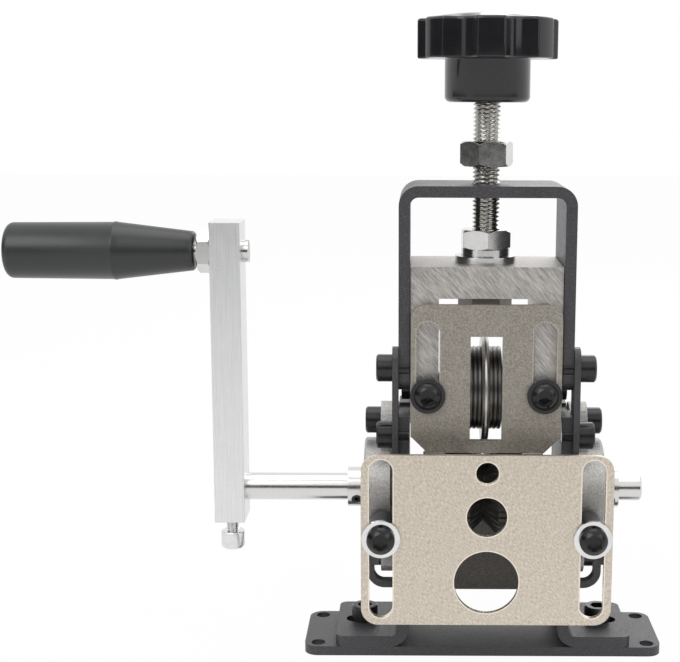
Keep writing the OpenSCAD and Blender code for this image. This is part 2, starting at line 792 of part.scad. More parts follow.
// Turned grip: a cone, a narrow ridge where it ends, and a slightly tapered body with a round end
module handle_grip() {
    cone = grip_cone_share * grip_len;
    bore = stud_r + run_gap;
    bore_end = grip_len - grip_d / 4;
    steps = 8;
    round_off = [for (i = [0:steps]) let (a = 90 * i / steps)
        [grip_end_d / 2 - grip_edge_r + grip_edge_r * cos(a), grip_len - grip_edge_r + grip_edge_r * sin(a)]];
    color([0.15, 0.15, 0.15]) translate([-grip_in_x, 0, handle_z]) mirror([1, 0, 0]) along_x()
        rotate_extrude() polygon(concat([[bore, 0], [grip_neck_d / 2, 0],
            [grip_ridge_d / 2, cone - edge / 2], [grip_ridge_d / 2, cone + edge / 2],
            [grip_d / 2, cone + edge]], round_off, [[0, grip_len], [0, bore_end], [bore, bore_end]]));
}

module press_block() {
    color([0.66, 0.65, 0.63]) difference() {
        translate([-block_w / 2, -block_d / 2, block_low_z])
            cube([block_w, block_d, block_top_z - block_low_z]);
        translate([-block_gap_w / 2, -block_d / 2 - cut, block_low_z - cut])
            cube([block_gap_w, block_d + 2 * cut, bar_low_z - block_low_z + cut]);
        translate([0, 0, bar_low_z - cut])
            cylinder(r = rod_r + run_gap, h = block_top_z - bar_low_z + 2 * cut);
        translate([-block_w / 2 - cut, 0, axle_z]) along_x() cylinder(r = axle_r, h = block_w + 2 * cut);
        for (s = [-1, 1]) translate([s * guard_slot_x, -block_d / 2 + guard_thread, guard_screw_z])
            to_front() cylinder(r = screw_r, h = guard_thread + cut);
    }
}

module press_screw() {
    color([0.7, 0.7, 0.7]) translate([0, 0, keep_nut_z])
        cylinder(r = rod_r, h = knob_head_z + knob_bore_h - keep_nut_z);
}

// Lobed outline of the knob: a disc with round hollows cut into its edge
module knob_2d(grow) {
    step = 360 / knob_lobes;
    difference() {
        circle(r = knob_d / 2 + grow);
        for (i = [0:knob_lobes - 1]) rotate((i + 1 / 2) * step - 90)
            translate([knob_d / 2 + knob_hollow_r / 2, 0]) circle(r = knob_hollow_r - grow);
    }
}

module star_knob() {
    color([0.1, 0.1, 0.1]) difference() {
        union() {
            translate([0, 0, knob_z + knob_edge_r]) cylinder(d = knob_hub_d, h = knob_hub_h);
            translate([0, 0, knob_z])
                cylinder(d1 = knob_hub_d - knob_edge_r, d2 = knob_hub_d, h = knob_edge_r);
            translate([0, 0, knob_head_z]) linear_extrude(knob_bevel) knob_2d(-knob_bevel / 2);
            translate([0, 0, knob_head_z + knob_bevel])
                linear_extrude(knob_head_h - 2 * knob_bevel) knob_2d(0);
            translate([0, 0, knob_top_z - knob_bevel]) linear_extrude(knob_bevel) knob_2d(-knob_bevel / 2);
            translate([0, 0, knob_top_z - edge])
                cylinder(d1 = knob_hub_d, d2 = knob_hub_d / 2, h = knob_dome_h + edge);
        }
        translate([0, 0, knob_z - cut]) cylinder(r = rod_r, h = knob_hub_h + knob_bore_h + cut);
    }
}

module lock_nut() {
    color([0.72, 0.72, 0.73]) translate([0, 0, lock_nut_z]) rotate(lock_nut_turn)
        hex_nut(nut_af, lock_nut_t, rod_r + run_gap);
}

module lower_nut() {
    color([0.72, 0.72, 0.73]) translate([0, 0, spring_top_z]) rotate(low_nut_turn)
        hex_nut(nut_af, low_nut_t, rod_r);
}

module spring_washer() {
    color([0.6, 0.6, 0.6]) translate([0, 0, washer_top_z])
        split_ring(nut_af / 2 + edge / 2, rod_r, spring_washer_t);
}

module flat_washer() {
    color([0.7, 0.7, 0.7]) translate([0, 0, block_top_z + run_gap])
        ring(flat_washer_d / 2, rod_r, flat_washer_t);
}

module retaining_nut() {
    color([0.7, 0.7, 0.7]) translate([0, 0, keep_nut_z]) hex_nut(nut_af, keep_nut_t, rod_r);
}

module blade_disc() {
    color([0.6, 0.6, 0.6]) translate([0, 0, axle_z]) along_x() rotate_extrude() polygon([
        [axle_r + run_gap, -blade_side], [blade_r - blade_bevel, -blade_side],
        [blade_r, -blade_land / 2], [blade_r, blade_land / 2],
        [blade_r - blade_bevel, blade_side], [axle_r + run_gap, blade_side]]);
}

// Side roller with round-about ridges, on the right of the blade
module side_roller() {
    pitch = side_roller_w / ridge_count;
    ridges = [for (i = [0:ridge_count - 1], k = [0, 1, 2, 3])
        let (x = pitch * (i + [0, 1 / 4, 3 / 4, 1][k]))
            [side_roller_r - ridge_depth * [1, 0, 0, 1][k], x]];
    translate([blade_side, 0, axle_z]) along_x() rotate_extrude()
        polygon(concat([[axle_r + run_gap, 0]], ridges, [[axle_r + run_gap, side_roller_w]]));
}

module left_side_roller() { color([0.18, 0.18, 0.18]) on_side(-1) side_roller(); }
module right_side_roller() { color([0.18, 0.18, 0.18]) on_side(1) side_roller(); }

module blade_axle() {
    color([0.15, 0.15, 0.15]) difference() {
        translate([0, 0, axle_z]) along_x() {
            translate([0, 0, -block_w / 2]) cylinder(r = axle_r, h = block_w);
            translate([0, 0, -block_w / 2 - axle_head_t]) cylinder(r = axle_head_r, h = axle_head_t);
        }
        translate([block_w / 2 - axle_screw_len, 0, axle_z]) along_x()
            cylinder(r = axle_r / 2, h = axle_screw_len + cut);
    }
}

module axle_screw() {
    color([0.15, 0.15, 0.15]) translate([block_w / 2, 0, axle_z]) along_x() {
        translate([0, 0, -axle_screw_len]) cylinder(r = axle_r / 2, h = axle_screw_len);
        cylinder(r = axle_head_r, h = axle_head_t);
    }
}

module blade_spacers() {
    start = blade_side + side_roller_w + 2 * run_gap;
    color([0.5, 0.5, 0.5]) for (s = [-1, 1]) on_side(s)
        translate([start, 0, axle_z]) along_x() ring(spacer_r, axle_r, block_gap_w / 2 - start);
}

module guard_plate() {
    r = guard_corner_r;
    h = guard_top_z - guard_low_z;
    x = guard_w / 2;
    color([0.55, 0.52, 0.49]) translate([0, -guard_back_y, 0]) to_front() difference() {
        linear_extrude(guard_t) {
            translate([0, guard_low_z]) polygon([[guard_chamfer - x, 0], [x - guard_chamfer, 0],
                [x, guard_chamfer], [x, h - r], [x - r, h - r], [x - r, h],
                [r - x, h], [r - x, h - r], [-x, h - r], [-x, guard_chamfer]]);
            for (s = [-1, 1]) translate([s * (x - r), guard_top_z - r]) circle(r = r);
        }
        translate([-window_w / 2, window_low_z, -cut])
            cube([window_w, window_top_z - window_low_z, guard_t + 2 * cut]);
        for (s = [-1, 1]) translate([s * guard_slot_x, 0, -cut]) linear_extrude(guard_t + 2 * cut)
            rotate(90) slot_2d(guard_slot_low_z, guard_slot_top_z, guard_slot_w);
    }
}

module guard_screws() {
    color([0.12, 0.12, 0.12]) for (s = [-1, 1])
        translate([s * guard_slot_x, -guard_front_y - run_gap - guard_washer_t, guard_screw_z])
            to_front() button_screw(screw_r, guard_washer_t + guard_t + 2 * run_gap + guard_thread);
}

module guard_washers() {
    color([0.14, 0.14, 0.14]) for (s = [-1, 1])
        translate([s * guard_slot_x, -guard_front_y - run_gap, guard_screw_z])
            to_front() ring(guard_washer_d / 2, screw_r, guard_washer_t);
}

module guide_plate() {
    mid_z = (guide_low_z + guide_top_z) / 2;
    color([0.74, 0.7, 0.65]) translate([0, -guide_back_y, 0]) to_front() difference() {
        translate([0, mid_z, 0]) linear_extrude(guide_t)
            rounded_rect(guide_w, guide_top_z - guide_low_z, guide_corner_r);
        for (hole = [[small_hole_z, small_hole_d], [mid_hole_z, mid_hole_d], [large_hole_z, large_hole_d]])
            translate([0, hole[0], -cut]) cylinder(d = hole[1], h = guide_t + 2 * cut);
        for (s = [-1, 1]) translate([s * guide_slot_x, 0, -cut]) linear_extrude(guide_t + 2 * cut)
            rotate(90) slot_2d(guide_slot_low_z, guide_slot_top_z, guide_slot_w);
    }
}

// Bent strap from the leg, a lug on its upper end, and the round post that the plate's screw goes into
module guide_bracket() {
    in_x = strap_x - strap_t;
    low = strap_z + strap_t + strap_bend_r;
    back_y = strap_y - strap_w / 2;
    mid_z = (lug_low_z + lug_top_z) / 2;
    difference() {
        union() {
            translate([0, -back_y, 0]) to_front() linear_extrude(strap_w) {
                translate([half_w, strap_z]) square([in_x - strap_bend_r - half_w, strap_t]);
                translate([in_x, low]) square([strap_t, mid_z - low]);
                translate([in_x - strap_bend_r, low]) rotate(90) bend_2d(strap_bend_r, strap_t);
            }
            translate([strap_x - lug_w, -post_front_y, lug_low_z])
                cube([lug_w, post_front_y - back_y, lug_top_z - lug_low_z]);
            translate([guide_slot_x, -post_back_y, guide_screw_z]) to_front()
                cylinder(d = post_d, h = post_front_y - post_back_y);
        }
        translate([guide_slot_x, -post_front_y + guide_thread, guide_screw_z]) to_front()
            cylinder(r = screw_r, h = guide_thread + cut);
    }
}

module left_guide_bracket() { color([0.18, 0.18, 0.19]) on_side(-1) guide_bracket(); }
module right_guide_bracket() { color([0.18, 0.18, 0.19]) on_side(1) guide_bracket(); }

module guide_screws() {
    stack = guide_washer_t + spring_t;
    color([0.12, 0.12, 0.12]) for (s = [-1, 1])
        translate([s * guide_slot_x, -guide_y - run_gap - stack, guide_screw_z]) to_front()
            button_screw(screw_r, stack + guide_t + 2 * run_gap + guide_thread);
}

module guide_washers() {
    color([0.8, 0.8, 0.8]) for (s = [-1, 1])
        translate([s * guide_slot_x, -guide_y - run_gap, guide_screw_z]) to_front()
            ring(guide_washer_d / 2, screw_r, guide_washer_t);
}

module guide_spring_washers() {
    color([0.3, 0.3, 0.3]) for (s = [-1, 1])
        translate([s * guide_slot_x, -guide_y - run_gap - guide_washer_t, guide_screw_z])
            to_front() split_ring(spring_d / 2, screw_r, spring_t);
}

base_plate();
left_leg();
right_leg();
rear_plate();
foot_screws();
top_bracket();
left_link();
right_link();
link_screws();
left_bearing_housing();
right_bearing_housing();
bearing_outer_rings();
bearing_balls();
bearing_seals();
left_inner_ring();
right_inner_ring();
ring_set_screws();
flange_screws();
drive_shaft();
drive_roller();
roller_set_screw();
crank_arm();
crank_clamp_screw();
handle_stud();
handle_nut();
handle_grip();
press_block();
press_screw();
star_knob();
lock_nut();
lower_nut();
spring_washer();
flat_washer();
retaining_nut();
blade_disc();
left_side_roller();
right_side_roller();
blade_axle();
axle_screw();
blade_spacers();
guard_plate();
guard_screws();
guard_washers();
guide_plate();
left_guide_bracket();
right_guide_bracket();
guide_screws();
guide_washers();
guide_spring_washers();
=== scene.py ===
"""Looks of the hand crank wire stripper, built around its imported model.

The construction comes from the frame. This script dresses every node with a procedural finish and
stands detailed pieces in for those whose surface the solids leave plain: the threaded press screw,
the star knob, the grip, the toothed drive roller, the crank's clamp screw and the button head
screws of both plates.
"""

import logging
import math
from dataclasses import dataclass
from enum import Enum
from typing import Callable, ClassVar, NamedTuple, Sequence

import bpy
import numpy as np
from mathutils import Matrix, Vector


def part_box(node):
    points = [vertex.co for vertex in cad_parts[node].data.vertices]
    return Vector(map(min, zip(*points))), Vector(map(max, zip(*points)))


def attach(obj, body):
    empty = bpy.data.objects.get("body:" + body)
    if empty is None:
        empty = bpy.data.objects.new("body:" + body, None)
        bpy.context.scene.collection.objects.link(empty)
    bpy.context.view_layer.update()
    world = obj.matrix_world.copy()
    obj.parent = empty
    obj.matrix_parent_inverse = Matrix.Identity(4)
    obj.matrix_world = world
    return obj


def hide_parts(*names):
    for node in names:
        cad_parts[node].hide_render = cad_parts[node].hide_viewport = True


LOG = logging.getLogger("wire_stripper")
MM = 0.001
Vec = tuple[float, float, float]
Shell = tuple[np.ndarray, np.ndarray]
Shape = Callable[[np.ndarray, np.ndarray], np.ndarray]
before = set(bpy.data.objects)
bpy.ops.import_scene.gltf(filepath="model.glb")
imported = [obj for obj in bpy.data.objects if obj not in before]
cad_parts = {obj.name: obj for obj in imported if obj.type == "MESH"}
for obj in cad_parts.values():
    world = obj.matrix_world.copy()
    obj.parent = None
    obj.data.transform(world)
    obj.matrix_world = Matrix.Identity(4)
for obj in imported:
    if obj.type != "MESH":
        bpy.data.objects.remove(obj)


class Axis(Enum):
    """Direction along which a turned part is drawn."""

    X = 0
    Y = 1
    Z = 2

    def turn(self, points: np.ndarray) -> np.ndarray:
        """Turns a drawing whose axis is Z.

        Args:
            points: Rows of X, Y and Z.

        Returns:
            The rows with Z turned to X and X to -Z, with Z turned to -Y and Y to Z, or left as they
            are.
        """
        if self is Axis.X:
            return points[:, [2, 1, 0]] * (1.0, 1.0, -1.0)
        if self is Axis.Y:
            return points[:, [0, 2, 1]] * (1.0, -1.0, 1.0)
        return points


class Brush(Enum):
    """Fineness of a pattern along each axis; a small share draws it out into lines."""

    EVEN = (1.0, 1.0, 1.0)
    ALONG_Z = (1.0, 1.0, 0.02)
    AROUND_X = (1.0, 0.02, 0.02)


class Wire:
    """One output socket, so that shader maths on values reads as plain arithmetic."""

    def __init__(self, nodes: "Nodes", socket: bpy.types.NodeSocket) -> None:
        """Wraps a socket.

        Args:
            nodes: Tree that owns the node.
            socket: Output socket of one of its nodes.
        """
        self.nodes = nodes
        self.socket = socket

    def _math(self, operation: str, *values: "Wire | float") -> "Wire":
        """Adds a Math node with this wire and other values as its inputs."""
        inputs = dict(enumerate((self, *values)))
        return self.nodes.add("ShaderNodeMath", {"operation": operation}, inputs)

    def __add__(self, other: "Wire | float") -> "Wire":
        """Sum."""
        return self._math("ADD", other)

    __radd__ = __add__

    def __sub__(self, other: "Wire | float") -> "Wire":
        """Difference."""
        return self._math("SUBTRACT", other)

    def __rsub__(self, other: float) -> "Wire":
        """Difference from a number."""
        return self.nodes.add("ShaderNodeMath", {"operation": "SUBTRACT"}, {0: other, 1: self})

    def __mul__(self, other: "Wire | float") -> "Wire":
        """Product."""
        return self._math("MULTIPLY", other)

    __rmul__ = __mul__

    def root(self) -> "Wire":
        """Square root."""
        return self._math("SQRT")

    def size(self) -> "Wire":
        """Absolute value."""
        return self._math("ABSOLUTE")

    def over(self, other: "Wire | float") -> "Wire":
        """Larger of two values."""
        return self._math("MAXIMUM", other)

    def under(self, other: "Wire | float") -> "Wire":
        """Smaller of two values."""
        return self._math("MINIMUM", other)

    def fade(self, low: float, high: float) -> "Wire":
        """Rises smoothly from 0 at low to 1 at high, or falls where low is the larger."""
        settings = {"interpolation_type": "SMOOTHSTEP", "clamp": True}
        values = {0: self, 1: low, 2: high, 3: 0.0, 4: 1.0}
        return self.nodes.add("ShaderNodeMapRange", settings, values)


class Nodes:
    """A node tree of a material or of the world."""

    def __init__(self, tree: bpy.types.NodeTree) -> None:
        """Takes a tree and empties it."""
        self.tree = tree
        self.tree.nodes.clear()

    def add(self, kind: str, settings: dict | None = None, values: dict | None = None,
            out: int | str = 0) -> Wire:
        """Adds any node.

        Args:
            kind: Blender's type name of the node.
            settings: Properties set first; "stops" fills a colour ramp with (place, colour) pairs.
            values: Socket name or number to a Wire or a constant.
            out: Output socket to return.

        Returns:
            The chosen output.
        """
        node = self.tree.nodes.new(kind)
        for key, value in (settings or {}).items():
            if key == "stops":
                self._fill_ramp(node, value)
            else:
                setattr(node, key, value)
        for key, value in (values or {}).items():
            self.put(node.inputs[key], value)
        return Wire(self, node.outputs[out])

    @staticmethod
    def _fill_ramp(node: bpy.types.Node, stops: Sequence[tuple[float, Vec]]) -> None:
        """Writes the stops of a colour ramp.

        Args:
            node: Colour ramp node.
            stops: Places and colours.
        """
        ramp = node.color_ramp
        while len(ramp.elements) < len(stops):
            ramp.elements.new(1.0)
        for element, (place, colour) in zip(ramp.elements, stops):
            element.position = place
            element.color = (*colour, 1.0)

    def put(self, socket: bpy.types.NodeSocket, value: "Wire | float | Sequence[float]") -> None:
        """Links a wire to a socket, or sets the socket's own value.

        Args:
            socket: Input socket.
            value: Wire, number, vector or colour.
        """
        if isinstance(value, Wire):
            self.tree.links.new(value.socket, socket)
        elif isinstance(value, (tuple, list)) and socket.type == "RGBA" and len(value) == 3:
            socket.default_value = (*value, 1.0)
        else:
            socket.default_value = value

    def mix(self, amount: "Wire | float", first: "Wire | Vec", second: "Wire | Vec") -> Wire:
        """Mixes two colours."""
        settings = {"data_type": "RGBA", "clamp_result": True}
        return self.add("ShaderNodeMix", settings, {0: amount, 6: first, 7: second}, out=2)


def times(colour: Vec, share: float) -> Vec:
    """A colour times a share, with no channel over 1."""
    return tuple(min(c * share, 1.0) for c in colour)


class Shader(Nodes):
    """A Principled material with short calls for what the finishes share."""

    def __init__(self, name: str) -> None:
        """Makes an empty material with a Principled shader at its output.

        Args:
            name: Name of the material.
        """
        self.material = bpy.data.materials.new(name)
        self.material.use_nodes = True
        super().__init__(self.material.node_tree)
        self.surface = self.tree.nodes.new("ShaderNodeBsdfPrincipled")
        self.output = self.tree.nodes.new("ShaderNodeOutputMaterial")
        self.tree.links.new(self.surface.outputs[0], self.output.inputs[0])

    def set(self, **inputs: "Wire | float | Sequence[float]") -> None:
        """Sets inputs of the Principled shader; underscores in a name stand for spaces."""
        for key, value in inputs.items():
            name = key.replace("_", " ").title().replace("Ior", "IOR")
            self.put(self.surface.inputs[name], value)

    def axes(self) -> list[Wire]:
        """Object X, Y and Z as values in metres."""
        place = self.add("ShaderNodeTexCoord", out="Object")
        split = self.add("ShaderNodeSeparateXYZ", None, {0: place}).socket.node
        return [Wire(self, socket) for socket in split.outputs]

    def noise(self, grain: float, stretch: Vec = Brush.EVEN.value, turn: Vec = (0.0, 0.0, 0.0),
              detail: float = 3.0, rough: float = 0.6) -> Wire:
        """Noise over Object coordinates.

        Args:
            grain: Size of a grain in metres.
            stretch: Fineness along each axis after the turn.
            turn: Angles in degrees that the pattern is turned by.
            detail: Octaves.
            rough: Weight of the finer octaves.

        Returns:
            A value from 0 to 1.
        """
        angles = tuple(math.radians(a) for a in turn)
        place = self.add("ShaderNodeTexCoord", out="Object")
        turned = self.add("ShaderNodeMapping", None, {"Vector": place, "Rotation": angles})
        where = self.add("ShaderNodeVectorMath", {"operation": "MULTIPLY"}, {0: turned, 1: stretch})
        values = {"Vector": where, "Scale": 1.0 / grain, "Detail": detail, "Roughness": rough}
        return self.add("ShaderNodeTexNoise", None, values)

    def tint(self, colour: Vec, amount: Wire, dark: float, light: float) -> Wire:
        """A colour moved by a value from 0 to 1 between a darker and a lighter share of itself."""
        return self.mix(amount, times(colour, dark), times(colour, light))

    def relief(self, height: Wire, depth: float, edge: float = 0.0) -> None:
        """Bumps the surface.

        Args:
            height: Value from 0 to 1.
            depth: Depth of the bumps in metres.
            edge: Radius that softens the edges, or 0 for none.
        """
        values = {"Height": height, "Distance": depth, "Strength": 1.0}
        if edge:
            values["Normal"] = self.add("ShaderNodeBevel", {"samples": 4}, {"Radius": edge})
        self.set(normal=self.add("ShaderNodeBump", None, values))


@dataclass(frozen=True)
class Finish:
    """A finish of one material slot. Subclasses say how its surface varies.

    Grains, depths and the edge's radius are lengths in metres.
    """

    slot: str
    colour: Vec
    roughness: float = 0.4
    metallic: float = 0.0
    edge: float = 0.25 * MM
    gloss: float = 0.5
    made: ClassVar[dict] = {}

    def material(self) -> bpy.types.Material:
        """Makes the finish's material on its first use.

        Returns:
            The material.
        """
        key = (type(self).__name__, self)
        if key not in self.made:
            shader = Shader(self.slot + "_look")
            shader.set(base_color=self.colour, roughness=self.roughness, metallic=self.metallic,
                       specular_ior_level=self.gloss)
            self.dress(shader)
            self.made[key] = shader.material
        return self.made[key]

    def dress(self, shader: Shader) -> None:
        """Adds what varies over the surface.

        Args:
            shader: Material to change.
        """
        raise NotImplementedError


@dataclass(frozen=True)
class PowderCoat(Finish):
    """Black powder coat: a fine orange peel, dusty specks and slightly polished patches."""

    peel: float = 0.6 * MM
    speck: float = 0.4 * MM
    cloud: float = 12.0 * MM
    depth: float = 0.06 * MM
    dust: float = 3.2

    def dress(self, shader: Shader) -> None:
        """Adds the peel and the specks.

        Args:
            shader: Material to change.
        """
        peel = shader.noise(self.peel, detail=2.0).fade(0.25, 0.75)
        specks = shader.noise(self.speck, detail=1.0).fade(0.56, 0.72)
        cloud = shader.noise(self.cloud)
        base = shader.tint(self.colour, cloud * 0.5 + peel * 0.5, 0.6, 1.45)
        shader.set(base_color=shader.mix(specks * 0.55, base, times(self.colour, self.dust)),
                   roughness=self.roughness + (cloud - 0.5) * 0.14 + (peel - 0.5) * 0.2)
        shader.relief(peel, self.depth, self.edge)


@dataclass(frozen=True)
class Blackened(Finish):
    """Black oxide on steel: dark, a little oily, with rubbed lighter patches."""

    patch: float = 4.0 * MM
    grain: float = 0.3 * MM
    depth: float = 0.01 * MM

    def dress(self, shader: Shader) -> None:
        """Adds the rubbed patches.

        Args:
            shader: Material to change.
        """
        rub = shader.noise(self.patch, detail=4.0)
        shader.set(base_color=shader.tint(self.colour, rub, 0.7, 1.9),
                   roughness=self.roughness + (rub - 0.5) * 0.2)
        shader.relief(shader.noise(self.grain, detail=2.0), self.depth, self.edge)


@dataclass(frozen=True)
class Blasted(Finish):
    """Bead-blasted casting with a coarse, matt grain."""

    grain: float = 0.5 * MM
    cloud: float = 9.0 * MM
    depth: float = 0.06 * MM

    def dress(self, shader: Shader) -> None:
        """Adds the blasted grain.

        Args:
            shader: Material to change.
        """
        grain = shader.noise(self.grain)
        cloud = shader.noise(self.cloud)
        shade = shader.tint(self.colour, cloud * 0.3 + grain.fade(0.3, 0.7) * 0.7, 0.6, 1.4)
        shader.set(base_color=shade, roughness=self.roughness + (grain - 0.5) * 0.2)
        shader.relief(grain, self.depth, self.edge)


@dataclass(frozen=True)
class Brushed(Finish):
    """Brushed or ground metal: fine lines along one direction over soft patches."""

    brush: Brush = Brush.EVEN
    grain: float = 0.18 * MM
    contrast: float = 0.25
    patch: float = 6.0 * MM
    mottle: float = 0.15
    depth: float = 0.012 * MM

    def dress(self, shader: Shader) -> None:
        """Adds the lines and patches.

        Args:
            shader: Material to change.
        """
        lines = shader.noise(self.grain, self.brush.value, detail=4.0, rough=0.7)
        patches = shader.noise(self.patch, detail=5.0, rough=0.65)
        shade = shader.tint(self.colour, lines, 1.0 - self.contrast, 1.0 + self.contrast)
        light = times(self.colour, 1.0 + self.mottle)
        shader.set(base_color=shader.mix(patches.fade(0.35, 0.7) * self.mottle * 2.0, shade, light),
                   roughness=self.roughness + (lines - 0.5) * 0.22 + (patches - 0.5) * 0.2)
        shader.relief(lines, self.depth, self.edge)


class Hole(NamedTuple):
    """A round hole on a plate's middle line."""

    height: float
    radius: float


class Slots(NamedTuple):
    """Two upright slots: their distance from the middle, their end centres and their radius."""

    out: float
    low: float
    high: float
    radius: float


@dataclass(frozen=True)
class Sheet(Finish):
    """Sheet metal with streaks, slanted scratches, and smooth rims with painted highlights on
    openings.
    """

    slots: Slots = Slots(0.0, 0.0, 0.0, 0.0)
    holes: tuple[Hole, ...] = ()
    rim: float = 0.6 * MM
    grain: float = 0.4 * MM
    patch: float = 4.0 * MM
    mark: float = 0.7 * MM
    cross: float = 0.8 * MM
    depth: float = 0.02 * MM
    streak: float = 0.3
    contrast: float = 0.2
    slant: float = 40.0
    scratch: float = 0.35
    # Lightening of the scratch marks, and of the painted highlight at the openings' edges.
    polish_and_highlight: float = 1.4

    def edges(self, shader: Shader) -> Wire:
        """Finds where an opening's edge is near.

        The distance to a hole's circle is that to its centre less its radius, and to a slot's edge
        that to the slot's middle line less its radius. The smallest counts.

        Args:
            shader: Material that the nodes go to.

        Returns:
            1 at an edge, falling to 0 over the rim's width.
        """
        across, _, up = shader.axes()
        side = across.size() - self.slots.out
        middle = (self.slots.low + self.slots.high) / 2.0
        rise = ((up - middle).size() - (self.slots.high - self.slots.low) / 2.0).over(0.0)
        near = (side * side + rise * rise).root() - self.slots.radius
        for hole in self.holes:
            rise = up - hole.height
            near = near.under((across * across + rise * rise).root() - hole.radius)
        return near.fade(self.rim, self.rim * 0.35)

    def dress(self, shader: Shader) -> None:
        """Adds the streaks, the scratches, and a painted highlight on the openings' edges, less
        rough there.

        Args:
            shader: Material to change.
        """
        turn, steep = (0.0, self.slant, 0.0), (0.0, self.slant * 1.6, 0.0)
        lines = shader.noise(self.grain, (1.0, 1.0, self.streak), turn, 4.0, 0.7).fade(0.3, 0.7)
        patches = shader.noise(self.patch, detail=5.0, rough=0.65).fade(0.25, 0.75)
        marks = shader.noise(self.mark, (1.0, 1.0, 0.12), turn, 2.0).fade(0.6, 0.76)
        cross = shader.noise(self.cross, (1.0, 1.0, 0.1), steep, 2.0).fade(0.62, 0.78)
        shade = shader.tint(self.colour, lines * 0.85 + patches * 0.15,
                            1.0 - self.contrast, 1.0 + self.contrast)
        light = times(self.colour, self.polish_and_highlight)
        shade = shader.mix(marks * self.scratch, shade, light)
        shade = shader.mix(cross * self.scratch * 0.7, shade, times(self.colour, 0.7))
        # Painted highlight: lighter colour, and lower roughness, at the edges of holes and slots.
        bright = self.edges(shader)
        rough = self.roughness + (lines - 0.5) * 0.2 + (patches - 0.5) * 0.2 - bright * 0.15
        shader.set(base_color=shader.mix(bright * 0.85, shade, light), roughness=rough)
        shader.relief(lines + marks * 0.6 - cross * 0.6, self.depth, self.edge)


@dataclass(frozen=True)
class Milled(Finish):
    """Coarsely sawn and sanded block with long slanted scratches of two sizes and small pits."""

    slant: float = 42.0
    line: float = 0.45 * MM
    gouge: float = 0.8 * MM
    pit: float = 0.9 * MM
    cloud: float = 14.0 * MM
    depth: float = 0.06 * MM
    gouge_and_pit_grey: Vec = (0.2, 0.19, 0.18)

    def dress(self, shader: Shader) -> None:
        """Adds the scratches and the pits.

        Args:
            shader: Material to change.
        """
        turn = (0.0, self.slant, 0.0)
        lines = shader.noise(self.line, (1.0, 1.0, 0.1), turn, 4.0, 0.75).fade(0.28, 0.72)
        deep = shader.noise(self.gouge, (1.0, 0.5, 0.07), turn, 2.0).fade(0.58, 0.74)
        pits = shader.noise(self.pit, detail=2.0).fade(0.62, 0.76)
        shade = shader.tint(self.colour, lines * 0.8 + shader.noise(self.cloud) * 0.2, 0.5, 1.5)
        # The deep gouges and the pits are mixed towards a darker grey.
        shade = shader.mix(deep * 0.4, shade, self.gouge_and_pit_grey)
        shader.set(base_color=shader.mix(pits * 0.3, shade, self.gouge_and_pit_grey),
                   roughness=self.roughness + (lines - 0.5) * 0.3)
        shader.relief(lines - deep * 0.6, self.depth, self.edge)


@dataclass(frozen=True)
class Plated(Finish):
    """Bright plating with faint stains."""

    stain: float = 3.0 * MM
    grain: float = 0.4 * MM
    depth: float = 0.008 * MM

    def dress(self, shader: Shader) -> None:
        """Adds the stains.

        Args:
            shader: Material to change.
        """
        stain = shader.noise(self.stain, detail=4.0)
        shader.set(base_color=shader.tint(self.colour, stain, 0.78, 1.12),
                   roughness=self.roughness + (stain - 0.5) * 0.16)
        shader.relief(shader.noise(self.grain, detail=2.0), self.depth, self.edge)


@dataclass(frozen=True)
class Moulded(Finish):
    """Moulded plastic: an even colour with a fine texture and faint handling marks."""

    grain: float = 0.4 * MM
    mark: float = 8.0 * MM
    depth: float = 0.01 * MM

    def dress(self, shader: Shader) -> None:
        """Adds the texture and the marks.

        Args:
            shader: Material to change.
        """
        marks = shader.noise(self.mark, detail=5.0, rough=0.7)
        shader.set(base_color=shader.tint(self.colour, marks, 0.85, 1.3),
                   roughness=self.roughness + (marks - 0.5) * 0.16)
        shader.relief(shader.noise(self.grain, detail=2.0), self.depth, self.edge)


